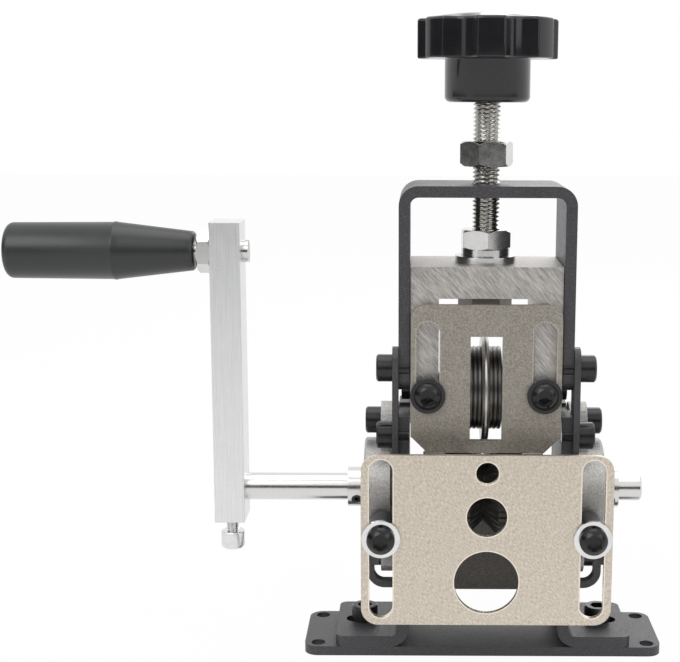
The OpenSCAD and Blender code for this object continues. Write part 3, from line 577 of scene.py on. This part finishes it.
class Finishes:
    """Every finish on the object, by the part it is made for."""

    powder = PowderCoat("powder_coat", (0.044, 0.043, 0.047), 0.4)
    dusty = PowderCoat("powder_coat", (0.2, 0.185, 0.172), 0.5)
    oxide = Blackened("black_oxide", (0.014, 0.014, 0.015), 0.24, 0.25)
    screw = Blackened("black_oxide", (0.01, 0.01, 0.011), 0.2, 0.2, edge=0.1 * MM, gloss=0.45)
    casting = Blasted("cast_zinc", (0.48, 0.47, 0.455), 0.5, 0.7)
    ground = Brushed("bright_steel", (0.7, 0.69, 0.68), 0.22, 1.0, brush=Brush.AROUND_X,
                     contrast=0.12, mottle=0.06)
    roller = Brushed("roller_steel", (0.07, 0.067, 0.064), 0.32, 0.85, grain=0.5 * MM, contrast=0.4)
    side_roller = Brushed("roller_steel", (0.15, 0.145, 0.138), 0.32, 0.95, brush=Brush.AROUND_X,
                          grain=0.3 * MM, contrast=0.4)
    arm = Brushed("arm_aluminium", (0.8, 0.805, 0.815), 0.32, 0.9, brush=Brush.ALONG_Z,
                  grain=0.3 * MM, contrast=0.3, mottle=0.1)
    chrome = Plated("chrome", (0.78, 0.78, 0.78), 0.1, 1.0)
    zinc = Plated("zinc_plate", (0.68, 0.675, 0.66), 0.18, 1.0)
    thread = Plated("zinc_plate", (0.6, 0.59, 0.56), 0.2, 1.0, edge=0.0)
    bright_thread = Plated("chrome", (0.78, 0.78, 0.78), 0.14, 1.0, edge=0.0)
    grip = Moulded("grip_plastic", (0.024, 0.025, 0.026), 0.34, depth=0.02 * MM)
    knob = Moulded("knob_plastic", (0.013, 0.013, 0.015), 0.15, grain=2.0 * MM, depth=0.004 * MM)
    rubber = Moulded("seal_rubber", (0.02, 0.02, 0.02), 0.6, gloss=0.3)
    block = Milled("block_metal", (0.46, 0.44, 0.42), 0.42, 0.8)
    blade = Brushed("blade_steel", (0.6, 0.585, 0.56), 0.3, 1.0, brush=Brush.AROUND_X, contrast=0.3)
    guard = Sheet("guard_steel", (0.33, 0.305, 0.262), 0.46, 0.6, contrast=0.42, scratch=0.05,
                  polish_and_highlight=1.5, streak=0.7, slots=Slots(20.8 * MM, 98.7 * MM, 121.2 * MM, 4.1 * MM))
    guide = Sheet("guide_steel", (0.67, 0.6, 0.51), 0.4, 0.85, contrast=0.36, scratch=0.3,
                  slots=Slots(37.1 * MM, 26.2 * MM, 75.5 * MM, 4.1 * MM),
                  holes=(Hole(74.8 * MM, 3.95 * MM), Hole(59.0 * MM, 7.05 * MM),
                         Hole(35.2 * MM, 11.35 * MM)))


def dress(nodes: Sequence[str], finish: Finish) -> None:
    """Gives CAD nodes a finish.

    Args:
        nodes: Names of the nodes.
        finish: Finish that they all get.
    """
    for name in nodes:
        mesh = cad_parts[name].data
        mesh.materials.clear()
        mesh.materials.append(finish.material())
        LOG.info("dressed %s as %s", name, finish.slot)


def lathe(profile: np.ndarray, count: int, closed: bool = False,
          shape: Shape | None = None) -> Shell:
    """Turns a profile about its own axis: ring k, column j lies at angle 2 pi j / count.

    Args:
        profile: Rows of radius and height.
        count: Columns around the axis.
        closed: True joins the last ring to the first, False closes both ends with a fan.
        shape: Radius of every point from its radius and angle, both as whole arrays.

    Returns:
        Points and the corners of the faces, quads with the fans' fourth corner repeated.
    """
    angle = np.linspace(0.0, 2.0 * np.pi, count, endpoint=False)[None, :]
    radius = np.repeat(profile[:, :1], count, axis=1)
    if shape is not None:
        radius = shape(radius, np.repeat(angle, len(profile), axis=0))
    height = np.repeat(profile[:, 1:2], count, axis=1)
    grid = np.stack((radius * np.cos(angle), radius * np.sin(angle), height), axis=-1)
    points = grid.reshape(-1, 3)
    rows = len(profile)
    rings = np.arange(rows if closed else rows - 1)
    ring, column = np.meshgrid(rings, np.arange(count), indexing="ij")
    after = (column + 1) % count
    above = (ring + 1) % rows
    faces = np.stack((ring * count + column, ring * count + after, above * count + after,
                      above * count + column), axis=-1).reshape(-1, 4)
    if not closed:
        near = np.arange(count)
        far = (near + 1) % count
        foot, head = np.full(count, len(points)), np.full(count, len(points) + 1)
        top = (rows - 1) * count
        points = np.vstack((points, [[0.0, 0.0, profile[0, 1]], [0.0, 0.0, profile[-1, 1]]]))
        faces = np.vstack((faces, np.stack((far, near, foot, foot), axis=-1),
                           np.stack((top + near, top + far, head, head), axis=-1)))
    return points, faces


def hexagon(radius: np.ndarray, angle: np.ndarray) -> np.ndarray:
    """Hexagon round a circle: its radius over the cosine of the angle from the nearest flat."""
    return radius / np.cos((angle + np.pi / 6.0) % (np.pi / 3.0) - np.pi / 6.0)


def arc(centre: tuple[float, float], radius: float, start: float, stop: float,
        steps: int) -> np.ndarray:
    """Centre plus radius times cosine and sine of angles from start to stop, in degrees."""
    angle = np.radians(np.linspace(start, stop, steps + 1))
    return np.array(centre) + radius * np.stack((np.cos(angle), np.sin(angle)), axis=1)


def linked(name: str, data: bpy.types.ID) -> bpy.types.Object:
    """Links a new object for a mesh, a lamp or a camera to the scene."""
    made = bpy.data.objects.new(name, data)
    bpy.context.scene.collection.objects.link(made)
    return made


def piece(name: str, shells: Sequence[Shell], finish: Finish, axis: Axis, origin: Sequence[float],
          sharp: float = 40.0) -> bpy.types.Object:
    """Makes one object from closed shells drawn along Z.

    Args:
        name: Name of the piece.
        shells: Points and faces of each shell, in metres.
        finish: Finish of the piece.
        axis: Axis that the drawing's Z becomes.
        origin: Place of the drawing's origin in the frame.
        sharp: Angle in degrees over which an edge stays sharp.

    Returns:
        The object, at the origin with its place in its mesh.
    """
    corners: list[list[int]] = []
    points: list[np.ndarray] = []
    start = 0
    for shell_points, faces in shells:
        moved = axis.turn(shell_points)
        # Volume from the faces' first three corners: below 0, the shell is inside out.
        triples = moved[faces[:, :3]] - moved.mean(axis=0)
        volume = np.einsum("ij,ij->i", triples[:, 0], np.cross(triples[:, 1], triples[:, 2])).sum()
        turned = faces if volume > 0 else faces[:, ::-1]
        corners += [list(dict.fromkeys(face)) for face in (turned + start).tolist()]
        points.append(moved + np.array(origin))
        start += len(moved)
    mesh = bpy.data.meshes.new(name)
    mesh.from_pydata(np.vstack(points), [], corners)
    mesh.polygons.foreach_set("use_smooth", np.ones(len(mesh.polygons), dtype=bool))
    mesh.set_sharp_from_angle(angle=math.radians(sharp))
    mesh.validate()
    mesh.materials.append(finish.material())
    return linked(name, mesh)


def stand_for(made: bpy.types.Object, node: str, body: str) -> None:
    """Seats a piece on a body in place of the CAD node that it details.

    Args:
        made: The piece.
        node: Node that it replaces.
        body: Body that it rides on.
    """
    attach(made, body)
    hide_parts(node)
    LOG.info("built %s for %s: %d faces", made.name, node, len(made.data.polygons))


@dataclass(frozen=True)
class Thread:
    """Outside thread of a screw, a triangle wave that is cut flat at its root and crest.

    Fullness less steepness times the distance from the root's middle, from 0 to 1, is the wave.
    """

    pitch: float
    depth: float
    rows_per_turn: int = 8
    columns: int = 40
    steepness: float = 1.5
    fullness: float = 1.25

    def bar(self, length: float, radius: float) -> Shell:
        """Threaded bar: radius less the wave of height over pitch minus angle over a full turn.

        Args:
            length: Length of the bar.
            radius: Radius over the thread's crests.

        Returns:
            Points and faces, from 0 up to the length.
        """
        rows = int(round(length / self.pitch * self.rows_per_turn))
        profile = np.stack((np.full(rows + 1, radius), np.linspace(0.0, length, rows + 1)), axis=1)
        height = profile[:, 1:2]

        def helix(size: np.ndarray, angle: np.ndarray) -> np.ndarray:
            """Cuts the wave, which runs out into the root over the first and last pitch.

            Args:
                size: Radius of every point.
                angle: Angle of every point.

            Returns:
                The cut radius.
            """
            phase = (height / self.pitch - angle / (2.0 * np.pi)) % 1.0
            away = np.abs(phase * 2.0 - 1.0)
            wave = np.clip(self.fullness - away * self.steepness, 0.0, 1.0)
            taper = np.clip(1.0 - np.minimum(height, length - height) / self.pitch, 0.0, 1.0)
            return size - self.depth * np.maximum(wave, taper)

        return lathe(profile, self.columns, shape=helix)


@dataclass(frozen=True)
class SocketHead:
    """Knurled round head with a hexagon socket, standing on height 0."""

    radius: float
    height: float
    flats: float
    depth: float = 3.0 * MM
    edge: float = 0.5 * MM
    floor_drop: float = 0.4 * MM
    knurls: int = 36
    knurl_depth: float = 0.14 * MM

    def shell(self) -> Shell:
        """Turned outline; its wall is cut by a cosine of the angle, its socket drawn to a hexagon.

        Returns:
            Points and faces.
        """
        size, top, edge, socket = self.radius, self.height, self.edge, self.flats / 2.0
        wall = [[size - edge / 2.0, 0.0], [size, edge / 2.0], [size, top - edge * 2.0],
                [size - edge * 0.3, top - edge], [size - edge, top]]
        inside = [[socket + edge, top], [socket, top - edge * 0.6], [socket, top - self.depth],
                  [socket * 0.2, top - self.depth - self.floor_drop]]
        row = np.arange(len(wall) + len(inside))[:, None]

        def cut(radius: np.ndarray, angle: np.ndarray) -> np.ndarray:
            """Cuts knurls into the wall's two upright rows and draws the socket to a hexagon.

            Args:
                radius: Radius of every point.
                angle: Angle of every point.

            Returns:
                The cut radius.
            """
            knurl = self.knurl_depth * (0.5 - 0.5 * np.cos(self.knurls * angle))
            upright = (row == 1) | (row == 2)
            return np.where(row >= len(wall), hexagon(radius, angle), radius - knurl * upright)

        return lathe(np.array(wall + inside), self.knurls * 4, shape=cut)


@dataclass(frozen=True)
class ButtonHead:
    """Domed head with a hexagon socket, standing on height 0, with its plain shank below."""

    radius: float = 4.9 * MM
    height: float = 3.3 * MM
    rim: float = 0.6 * MM
    flats: float = 4.8 * MM
    depth: float = 2.0 * MM
    shank: float = 3.0 * MM
    edge: float = 0.1 * MM
    floor_drop: float = 0.4 * MM
    columns: int = 72
    dome_rows: int = 10

    def shell(self, length: float) -> Shell:
        """Turned outline: shank, rim, an arc over the dome, and a socket drawn to a hexagon.

        The dome's circle has the radius (r r + h h) / 2 h, for a head of radius r that rises h.

        Args:
            length: Length of the shank.

        Returns:
            Points and faces.
        """
        rise = self.height - self.rim
        circle = (self.radius ** 2 + rise ** 2) / (2.0 * rise)
        socket = self.flats / 2.0
        mouth = socket / math.cos(math.pi / 6.0) + self.edge * 2.0
        low, high = math.asin(self.radius / circle), math.asin(mouth / circle)
        angle = np.linspace(low, high, self.dome_rows)
        bow = circle * np.stack((np.sin(angle), np.cos(angle)), axis=1)
        dome = bow + (0.0, self.height - circle)
        floor = dome[-1, 1] - self.depth
        start = [[self.shank, -length], [self.shank, 0.0], [self.radius - self.edge, 0.0],
                 [self.radius, self.edge]]
        inside = [[socket, dome[-1, 1] - self.edge], [socket, floor],
                  [socket * 0.2, floor - self.floor_drop]]
        profile = np.vstack((start, dome, inside))
        inner = np.arange(len(profile))[:, None] >= len(profile) - len(inside)

        def cut(radius: np.ndarray, angle: np.ndarray) -> np.ndarray:
            """Draws the socket's rows to a hexagon."""
            return np.where(inner, hexagon(radius, angle), radius)

        return lathe(profile, self.columns, shape=cut)

    def pair(self, name: str, node: str, body: str) -> None:
        """Builds both screws of a plate where the node's box has them.

        Args:
            name: Name of the piece.
            node: Node that it replaces.
            body: Body that it rides on.
        """
        low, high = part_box(node)
        base = low.y + self.height
        points, faces = self.shell(high.y - base)
        reach = (high.x - low.x) / 2.0 - self.radius
        both = [(points + (side * reach, 0.0, 0.0), faces) for side in (-1.0, 1.0)]
        middle = ((low.x + high.x) / 2.0, base, (low.z + high.z) / 2.0)
        made = piece(name, both, Finishes.screw, Axis.Y, middle, 28.0)
        stand_for(made, node, body)


@dataclass
class FrameParts:
    """Base, legs, top bracket, links, guide brackets and the plain screws and washers."""

    coated: tuple[str, ...] = ("base_plate", "left_leg", "right_leg", "top_bracket", "left_link",
                               "right_link", "left_guide_bracket", "right_guide_bracket")
    blackened: tuple[str, ...] = ("foot_screws", "link_screws", "flange_screws", "guard_washers",
                                  "guide_spring_washers", "blade_axle", "axle_screw",
                                  "ring_set_screws", "roller_set_screw")

    def build(self) -> None:
        """Dresses the frame, the black screws and the washers."""
        dress(self.coated, Finishes.powder)
        dress(("rear_plate",), Finishes.dusty)
        dress(self.blackened, Finishes.oxide)
        dress(("guide_washers",), Finishes.chrome)


@dataclass
class Bearings:
    """Flange bearings at both ends of the drive shaft."""

    cast: tuple[str, ...] = ("left_bearing_housing", "right_bearing_housing")
    rings: tuple[str, ...] = ("bearing_outer_rings", "bearing_balls", "left_inner_ring",
                              "right_inner_ring")

    def build(self) -> None:
        """Dresses housings, rings and seals."""
        dress(self.cast, Finishes.casting)
        dress(self.rings, Finishes.ground)
        dress(("bearing_seals",), Finishes.rubber)


@dataclass
class Drive:
    """Drive shaft and the toothed roller on it."""

    teeth: int = 40
    tooth_depth: float = 0.5 * MM
    columns: int = 320
    flank_rows: int = 8
    bore: float = 5.0 * MM
    hub: float = 13.5 * MM
    rim: float = 17.5 * MM
    root: float = 12.3 * MM
    rim_half: float = 14.0 * MM
    edge: float = 0.5 * MM

    def profile(self, half: float) -> np.ndarray:
        """Half section of the roller: hubs, rims and a V groove whose flanks get several rows.

        Args:
            half: Half the roller's length.

        Returns:
            Rows of radius and height.
        """
        groove = self.rim - self.root
        flank = np.linspace(0.0, 1.0, self.flank_rows, endpoint=False)[:, None]
        down = np.array([self.rim, -groove]) + flank * np.array([-groove, groove])
        up = np.array([self.root, 0.0]) + flank * np.array([groove, groove])
        edge, rim_half = self.edge, self.rim_half
        head = [[self.bore, -half], [self.hub - edge, -half], [self.hub, edge - half],
                [self.hub, -rim_half], [self.rim - edge, -rim_half], [self.rim, edge - rim_half]]
        tail = [[self.rim, groove], [self.rim, rim_half - edge], [self.rim - edge, rim_half],
                [self.hub, rim_half], [self.hub, half - edge], [self.hub - edge, half],
                [self.bore, half]]
        return np.vstack((head, down, up, tail))

    def toothed(self, radius: np.ndarray, angle: np.ndarray) -> np.ndarray:
        """Cuts tooth spaces: depth times a sharpened cosine of the angle, growing from root to rim.

        Args:
            radius: Radius of every point.
            angle: Angle of every point.

        Returns:
            The cut radius.
        """
        wave = np.clip(0.5 - 0.9 * np.cos(self.teeth * angle), 0.0, 1.0)
        reach = np.clip((radius - self.root + self.tooth_depth) / (self.rim - self.root), 0.0, 1.0)
        return radius - self.tooth_depth * wave * reach

    def build(self) -> None:
        """Builds the roller and dresses the shaft."""
        low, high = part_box("drive_roller")
        shell = lathe(self.profile((high.x - low.x) / 2), self.columns, True, self.toothed)
        roller = piece("toothed_roller", [shell], Finishes.roller, Axis.X, (low + high) / 2, 25.0)
        stand_for(roller, "drive_roller", "crank")
        dress(("drive_shaft",), Finishes.ground)


@dataclass
class Crank:
    """Crank arm, its fasteners and the turned grip."""

    columns: int = 96
    rows: int = 12
    bore: float = 4.05 * MM
    neck: float = 7.15 * MM
    ridge: float = 10.6 * MM
    body: float = 10.4 * MM
    end: float = 10.15 * MM
    cone_share: float = 0.42
    edge: float = 2.7 * MM
    soft: float = 0.3 * MM
    clamp_radius: float = 2.5 * MM
    clamp_thread: Thread = Thread(0.8 * MM, 0.42 * MM)
    clamp_head: SocketHead = SocketHead(4.35 * MM, 6.4 * MM, 4.2 * MM)

    def profile(self, length: float) -> np.ndarray:
        """Outline from the neck: a straight cone, a narrow ridge, a slight taper and a rounded end.

        Args:
            length: Length of the grip.

        Returns:
            Rows of radius and height.
        """
        cone, soft = self.cone_share * length, self.soft
        share = np.linspace(0.0, 1.0, self.rows)[:, None]
        start = np.array([self.neck, soft * 2.0])
        stop = np.array([self.ridge - soft / 2.0, cone - soft * 2.0])
        mouth = [[self.bore, 0.0], [self.neck - soft * 2.0, 0.0]]
        ridge = [[self.ridge, cone - soft], [self.ridge, cone + soft],
                 [self.body, cone + soft * 2.0]]
        rounded = arc((self.end - self.edge, length - self.edge), self.edge, 0.0, 90.0, self.rows)
        return np.vstack((mouth, start + share * (stop - start), ridge, rounded))

    def clamp_screw(self) -> None:
        """Builds the screw that closes the arm's clamp, its head down."""
        low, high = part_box("crank_clamp_screw")
        middle = ((low.x + high.x) / 2, (low.y + high.y) / 2, low.z + self.clamp_head.height)
        points, faces = self.clamp_head.shell()
        bar = self.clamp_thread.bar(high.z - middle[2], self.clamp_radius)
        screw = piece("threaded_clamp_screw", [(points * (1.0, 1.0, -1.0), faces), bar],
                      Finishes.bright_thread, Axis.Z, middle, 30.0)
        stand_for(screw, "crank_clamp_screw", "crank")

    def build(self) -> None:
        """Builds the grip and the clamp screw, and dresses the arm, nut and stud."""
        low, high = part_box("handle_grip")
        points, faces = lathe(self.profile(high.x - low.x), self.columns)
        origin = (high.x, (low.y + high.y) / 2, (low.z + high.z) / 2)
        grip = piece("turned_grip", [(points * (1.0, 1.0, -1.0), faces)], Finishes.grip, Axis.X,
                     origin, 50.0)
        stand_for(grip, "handle_grip", "grip")
        dress(("crank_arm",), Finishes.arm)
        self.clamp_screw()
        dress(("handle_stud", "handle_nut"), Finishes.zinc)


@dataclass
class Press:
    """Press screw with its thread, star knob, nuts, washers and block."""

    thread: Thread = Thread(1.5 * MM, 0.85 * MM)
    lobes: int = 7
    columns: int = 336
    size: float = 25.0 * MM
    hub: float = 15.25 * MM
    head_rise: float = 15.2 * MM
    hollow_r: float = 7.2 * MM
    fillet: float = 3.0 * MM
    hub_edge: float = 2.0 * MM
    neck: float = 0.4 * MM
    under_rim: float = 2.4 * MM
    low_edge: float = 0.6 * MM
    top_edge: float = 1.2 * MM
    shoulder: float = 1.5 * MM
    dome: float = 2.1 * MM
    dome_rows: int = 14
    lobe_start: float = 0.66
    lobe_fade: float = 0.26
    plated: tuple[str, ...] = ("lock_nut", "lower_nut", "retaining_nut", "spring_washer",
                               "flat_washer")

    def lobed(self, radius: np.ndarray, angle: np.ndarray) -> np.ndarray:
        """Radius cut by round hollows: the near side of each hollow's circle, blended into the rim.

        A hollow's circle has its centre at its own distance D from the axis, so that its near side
        lies at D cos t less the root of its radius squared less D sin t squared, t being the angle
        from the hollow. The cut fades out towards the hub.

        Args:
            radius: Radius of every point.
            angle: Angle of every point.

        Returns:
            The cut radius.
        """
        step = 2.0 * np.pi / self.lobes
        turn = (angle + np.pi / 2.0) % step - step / 2.0
        centre = self.size + self.hollow_r / 2.0
        inside = self.hollow_r ** 2 - (centre * np.sin(turn)) ** 2
        side = centre * np.cos(turn) - np.sqrt(np.maximum(inside, 0.0))
        near = np.where(inside > 0.0, side, centre)
        blend = np.maximum(self.fillet - np.abs(near - self.size), 0.0) / self.fillet
        rim = np.minimum(near, self.size) - blend ** 2 * self.fillet / 4.0
        reach = np.clip((radius / self.size - self.lobe_start) / self.lobe_fade, 0.0, 1.0)
        return radius - (self.size - rim) * reach

    def knob(self, low: float, top: float) -> Shell:
        """Hub and lobed head as one turned outline with rounded edges and a low dome.

        Args:
            low: Height of the hub's lower end.
            top: Height of the dome's middle.

        Returns:
            Points and faces.
        """
        size, hub, head, edge = self.size, self.hub, low + self.head_rise, self.hub_edge
        share = np.linspace(1.0, 0.04, self.dome_rows)[:, None]
        inner = size - self.top_edge - self.shoulder
        rim_top = top - self.dome - self.top_edge
        outline = np.vstack((
            arc((hub - edge, low + edge), edge, -90.0, 0.0, 6),
            [[hub, head - self.neck], [hub + self.neck, head], [size - self.under_rim, head]],
            arc((size - self.low_edge, head + self.low_edge), self.low_edge, -90.0, 0.0, 5),
            arc((size - self.top_edge, rim_top), self.top_edge, 0.0, 84.0, 8),
            np.hstack((share * inner, top - self.dome * share ** 2))))
        return lathe(outline, self.columns, shape=self.lobed)

    def build(self) -> None:
        """Builds the screw and the knob and dresses the rest of the press."""
        low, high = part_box("press_screw")
        bar = self.thread.bar(high.z - low.z, (high.x - low.x) / 2)
        screw = piece("threaded_press_screw", [bar], Finishes.thread, Axis.Z,
                      (0.0, 0.0, low.z), 30.0)
        stand_for(screw, "press_screw", "knob")
        low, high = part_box("star_knob")
        knob = piece("lobed_knob", [self.knob(low.z, high.z)], Finishes.knob, Axis.Z,
                     (0.0, 0.0, 0.0), 60.0)
        stand_for(knob, "star_knob", "knob")
        dress(self.plated, Finishes.zinc)
        dress(("press_block",), Finishes.block)


@dataclass
class Blade:
    """Round blade with its side rollers and spacers."""

    rollers: tuple[str, ...] = ("left_side_roller", "right_side_roller")

    def build(self) -> None:
        """Dresses the blade and its rollers."""
        dress(("blade_disc",), Finishes.blade)
        dress(self.rollers, Finishes.side_roller)
        dress(("blade_spacers",), Finishes.ground)


@dataclass
class Plates:
    """Guard plate on the block and guide plate in front."""

    button: ButtonHead = ButtonHead()

    def build(self) -> None:
        """Dresses both plates and builds their screws."""
        dress(("guard_plate",), Finishes.guard)
        dress(("guide_plate",), Finishes.guide)
        self.button.pair("guard_button_screws", "guard_screws", "press")
        self.button.pair("guide_button_screws", "guide_screws", "root")


@dataclass(frozen=True)
class Lamp:
    """A square soft box: its place and size in metres and its power in watts."""

    name: str
    place: Vec
    size: float
    power: float


@dataclass
class Studio:
    """Camera, lights, floor and surroundings."""

    place: Vec = (-0.02363, -0.49383, 0.20454)
    pitch: float = 9.857
    roll: float = 0.231
    focal_px: float = 1364.6
    centre_px: float = 420.1
    width_px: float = 680.0
    film: float = 36.0
    clip: float = 0.01
    aim: Vec = (0.0, 0.0, 0.1)
    lamps: tuple[Lamp, ...] = (
        Lamp("key", (-0.55, -0.75, 0.85), 0.7, 4.0),
        Lamp("fill", (0.75, -0.6, 0.45), 0.6, 1.6),
        Lamp("top", (0.0, 0.1, 1.1), 0.8, 3.1),
        Lamp("back", (0.3, 0.9, 0.6), 0.6, 1.6))
    room: tuple[tuple[float, float], ...] = ((0.0, 0.3), (0.46, 0.36), (0.6, 0.62), (1.0, 0.75))
    floor_half: float = 3.0
    floor_glow: float = 0.95
    card_far: float = 1.3
    card_low: float = 0.04
    card_high: float = 0.6
    card_steps: int = 12
    card_spans: tuple[tuple[float, float], ...] = ((-110.0, -62.0), (-40.0, 84.0))

    def camera(self) -> None:
        """Sets the camera that the photograph was measured with."""
        data = bpy.data.cameras.new("view")
        data.sensor_width = self.film
        data.lens = self.focal_px / self.width_px * self.film
        data.shift_x = (self.width_px / 2.0 - self.centre_px) / self.width_px
        data.clip_start = self.clip
        made = linked("view", data)
        tilt = Matrix.Rotation(math.radians(90.0 - self.pitch), 4, "X")
        roll = Matrix.Rotation(math.radians(self.roll), 4, "Z")
        made.matrix_world = Matrix.Translation(self.place) @ tilt @ roll
        bpy.context.scene.camera = made

    def lights(self) -> None:
        """Hangs the soft boxes, turned to the point that they aim at."""
        for lamp in self.lamps:
            data = bpy.data.lights.new(lamp.name, "AREA")
            data.size = lamp.size
            data.energy = lamp.power
            x, y, z = np.array(self.aim) - np.array(lamp.place)
            turn = Matrix.Rotation(math.atan2(-x, y), 4, "Z")
            tilt = Matrix.Rotation(math.pi / 2.0 + math.atan2(z, math.hypot(x, y)), 4, "X")
            linked(lamp.name, data).matrix_world = Matrix.Translation(lamp.place) @ turn @ tilt

    @staticmethod
    def shown(nodes: Nodes) -> Wire:
        """One for rays that show the background: from the camera, off metal and through glass."""
        kinds = ("Camera", "Glossy", "Transmission")
        rays = [nodes.add("ShaderNodeLightPath", out=f"Is {kind} Ray") for kind in kinds]
        return rays[0].over(rays[1]).over(rays[2])

    def surroundings(self) -> None:
        """White to the camera, and to other rays a pale room that darkens downwards."""
        world = bpy.data.worlds.new("room")
        bpy.context.scene.world = world
        world.use_nodes = True
        nodes = Nodes(world.node_tree)
        direction = nodes.add("ShaderNodeTexCoord", out="Generated")
        up = nodes.add("ShaderNodeSeparateXYZ", None, {0: direction}, out=2)
        stops = [(place, (grey, grey, grey)) for place, grey in self.room]
        sky = nodes.add("ShaderNodeValToRGB", {"stops": stops}, {0: up * 0.5 + 0.5})
        colour = nodes.mix(self.shown(nodes), sky, (1.0, 1.0, 1.0))
        back = nodes.add("ShaderNodeBackground", None, {0: colour, 1: 1.0})
        out = nodes.tree.nodes.new("ShaderNodeOutputWorld")
        nodes.put(out.inputs[0], back)

    def floor(self) -> None:
        """Pale floor that keeps a faint shadow and looks white to the camera."""
        half = self.floor_half
        mesh = bpy.data.meshes.new("floor")
        corners = [(-half, -half, 0.0), (half, -half, 0.0), (half, half, 0.0), (-half, half, 0.0)]
        mesh.from_pydata(corners, [], [(0, 1, 2, 3)])
        shader = Shader("pale_floor")
        shader.set(base_color=(0.9, 0.9, 0.9), roughness=0.9)
        glow = shader.add("ShaderNodeEmission", None, {0: (1.0, 1.0, 1.0), 1: 1.0})
        matt = Wire(shader, shader.surface.outputs[0])
        blend = shader.add("ShaderNodeMixShader", None,
                           {0: self.shown(shader) * self.floor_glow, 1: matt, 2: glow})
        shader.put(shader.output.inputs[0], blend)
        mesh.materials.append(shader.material)
        made = linked("floor", mesh)

    def cards(self) -> None:
        """Dark screens in an arc before the object, so that bright metal has something to reflect.

        A card's foot runs over its distance times sine and minus cosine of an angle, and its top
        stands above it.
        """
        shader = Shader("card_felt")
        shader.set(base_color=(0.03, 0.03, 0.03), roughness=0.9)
        count = self.card_steps + 1
        near = np.arange(self.card_steps)
        faces = np.stack((near, near + count, near + count + 1, near + 1), axis=1)
        for index, (start, stop) in enumerate(self.card_spans):
            angle = np.radians(np.linspace(start, stop, count))
            foot = np.stack((self.card_far * np.sin(angle), -self.card_far * np.cos(angle),
                             np.full(count, self.card_low)), axis=1)
            mesh = bpy.data.meshes.new(f"dark_card_{index}")
            mesh.from_pydata(np.vstack((foot, foot + (0.0, 0.0, self.card_high - self.card_low))),
                             [], faces.tolist())
            mesh.materials.append(shader.material)
            made = linked(mesh.name, mesh)
            made.visible_camera = False

    def build(self) -> None:
        """Sets up everything around the object."""
        bpy.context.scene.view_settings.view_transform = "Standard"
        self.camera()
        self.lights()
        self.surroundings()
        self.floor()
        self.cards()


def main() -> None:
    """Builds the studio and every sub-assembly."""
    logging.basicConfig(level=logging.INFO, format="%(message)s")
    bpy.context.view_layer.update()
    Studio().build()
    for part in (FrameParts(), Bearings(), Drive(), Crank(), Press(), Blade(), Plates()):
        LOG.info("sub-assembly %s", type(part).__name__)
        part.build()


if __name__ == "__main__":
    main()
